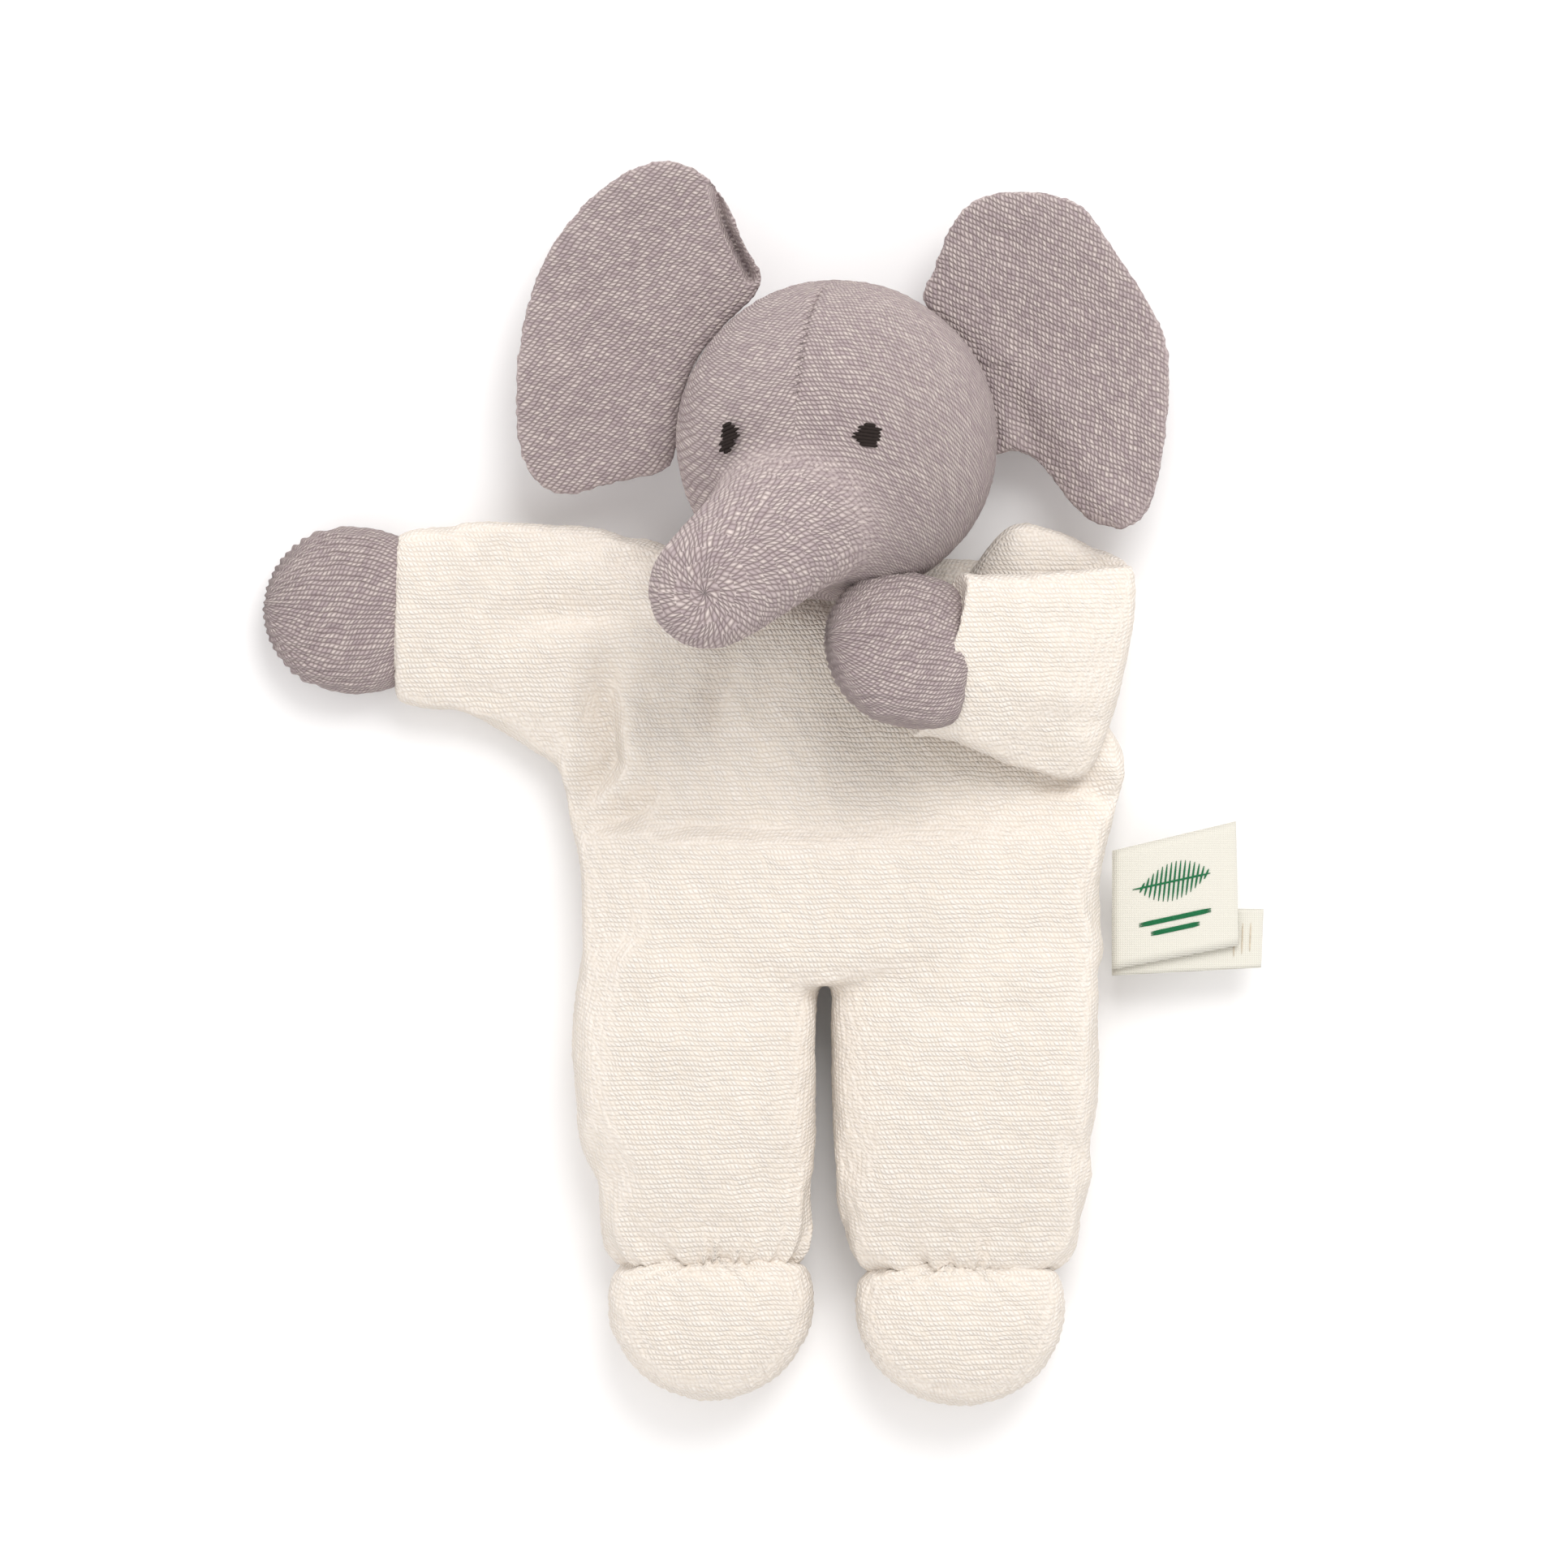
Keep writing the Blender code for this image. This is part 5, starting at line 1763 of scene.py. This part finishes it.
CAMERA_AIM = Vector((-10.5, 12.1, 0)) * MM
# Width of the camera's sensor in millimetres, half the floor's side and the lights' places in metres
SENSOR_WIDTH = 36
FLOOR_HALF = 3.0
KEY_PLACE = (0.24, 0.68, 0.98)
FILL_PLACE = (-0.5, -0.6, 0.9)


def area_light(name, place, size, power, colour):
    """Round light that faces the middle of the floor."""
    light = bpy.data.lights.new(name, "AREA")
    light.shape = "DISK"
    light.size = size
    light.energy = power
    light.color = colour
    obj = add_object(name, light)
    obj.location = place
    obj.rotation_euler = (-Vector(place)).to_track_quat("-Z", "Y").to_euler()
    return obj


def build_stage():
    settings = bpy.context.scene.doll_stage
    corners = [(x * FLOOR_HALF, y * FLOOR_HALF, 0) for x, y in ((-1, -1), (1, -1), (1, 1), (-1, 1))]
    floor = new_object("stage_floor", corners, [(0, 1, 2, 3)])
    paper, *_ = new_material("Stage paper", {
        "Base Color": (0.96, 0.96, 0.97, 1), "Roughness": 0.9, "Specular IOR Level": 0.1})
    floor.data.materials.append(paper)
    camera_data = bpy.data.cameras.new("Camera")
    camera_data.sensor_width = SENSOR_WIDTH
    camera_data.lens = SENSOR_WIDTH * settings.camera_height / settings.view_width
    camera_data.clip_start = 0.05
    camera_data.clip_end = 20
    camera = add_object("Camera", camera_data)
    camera.location = CAMERA_AIM + UP * settings.camera_height
    bpy.context.scene.camera = camera
    area_light("Key light", KEY_PLACE, 0.75, settings.key_power, (1, 0.99, 0.975))
    area_light("Fill light", FILL_PLACE, 0.9, settings.fill_power, (1, 0.98, 0.96))
    world = bpy.data.worlds.new("Studio")
    world.use_nodes = True
    set_inputs(world.node_tree.nodes["Background"], {"Color": (1.0, 0.98, 0.962, 1), "Strength": 0.90})
    bpy.context.scene.world = world
    bpy.context.scene.view_settings.view_transform = "Standard"


# ---- add-on -----------------------------------------------------------------------------------------


class DOLL_OT_stage(Operator):
    """Set up floor, lights and camera"""

    bl_idname = "doll.stage"
    bl_label = "Stage"

    def execute(self, context):
        build_stage()
        return {"FINISHED"}


class DOLL_OT_romper(Operator):
    """Make the terry romper with its sleeves and legs"""

    bl_idname = "doll.romper"
    bl_label = "Romper"

    def execute(self, context):
        build_romper()
        return {"FINISHED"}


class DOLL_OT_feet(Operator):
    """Make the two stuffed feet"""

    bl_idname = "doll.feet"
    bl_label = "Feet"

    def execute(self, context):
        build_feet()
        return {"FINISHED"}


class DOLL_OT_hands(Operator):
    """Make the two knitted mittens"""

    bl_idname = "doll.hands"
    bl_label = "Hands"

    def execute(self, context):
        build_hands()
        return {"FINISHED"}


class DOLL_OT_head(Operator):
    """Make head, trunk and neck"""

    bl_idname = "doll.head"
    bl_label = "Head and trunk"

    def execute(self, context):
        build_head()
        build_neck()
        return {"FINISHED"}


class DOLL_OT_ears(Operator):
    """Make the two ears"""

    bl_idname = "doll.ears"
    bl_label = "Ears"

    def execute(self, context):
        build_ears()
        return {"FINISHED"}


class DOLL_OT_threads(Operator):
    """Make the embroidered eyes, the seam stitches and the tie threads"""

    bl_idname = "doll.threads"
    bl_label = "Thread work"

    def execute(self, context):
        build_eyes()
        build_head_stitches()
        build_ties()
        return {"FINISHED"}


class DOLL_OT_labels(Operator):
    """Make the two folded ribbon labels"""

    bl_idname = "doll.labels"
    bl_label = "Labels"

    def execute(self, context):
        build_labels()
        return {"FINISHED"}


OPERATORS = (
    DOLL_OT_stage, DOLL_OT_romper, DOLL_OT_feet, DOLL_OT_hands, DOLL_OT_head, DOLL_OT_ears,
    DOLL_OT_threads, DOLL_OT_labels,
)


class DOLL_PT_panel(Panel):
    bl_label = "Soft elephant doll"
    bl_idname = "DOLL_PT_panel"
    bl_space_type = "VIEW_3D"
    bl_region_type = "UI"
    bl_category = "Doll"

    def draw(self, context):
        layout = self.layout
        for group in (context.scene.doll_shape, context.scene.doll_fabric, context.scene.doll_stage):
            for name in group.__annotations__:
                layout.prop(group, name)
        for operator in OPERATORS:
            layout.operator(operator.bl_idname)


SETTINGS = {
    "doll_shape": DollShapeSettings,
    "doll_fabric": DollFabricSettings,
    "doll_stage": DollStageSettings,
}


def register():
    for name, group in SETTINGS.items():
        bpy.utils.register_class(group)
        setattr(bpy.types.Scene, name, PointerProperty(type=group))
    for cls in (*OPERATORS, DOLL_PT_panel):
        bpy.utils.register_class(cls)


def unregister():
    for cls in (DOLL_PT_panel, *reversed(OPERATORS)):
        bpy.utils.unregister_class(cls)
    for name, group in SETTINGS.items():
        delattr(bpy.types.Scene, name)
        bpy.utils.unregister_class(group)


def main():
    register()
    for operator in OPERATORS:
        group, name = operator.bl_idname.split(".")
        result = getattr(getattr(bpy.ops, group), name)()
        if result != {"FINISHED"}:
            raise RuntimeError(operator.bl_label + " wasn't made")


if __name__ == "__main__":
    main()
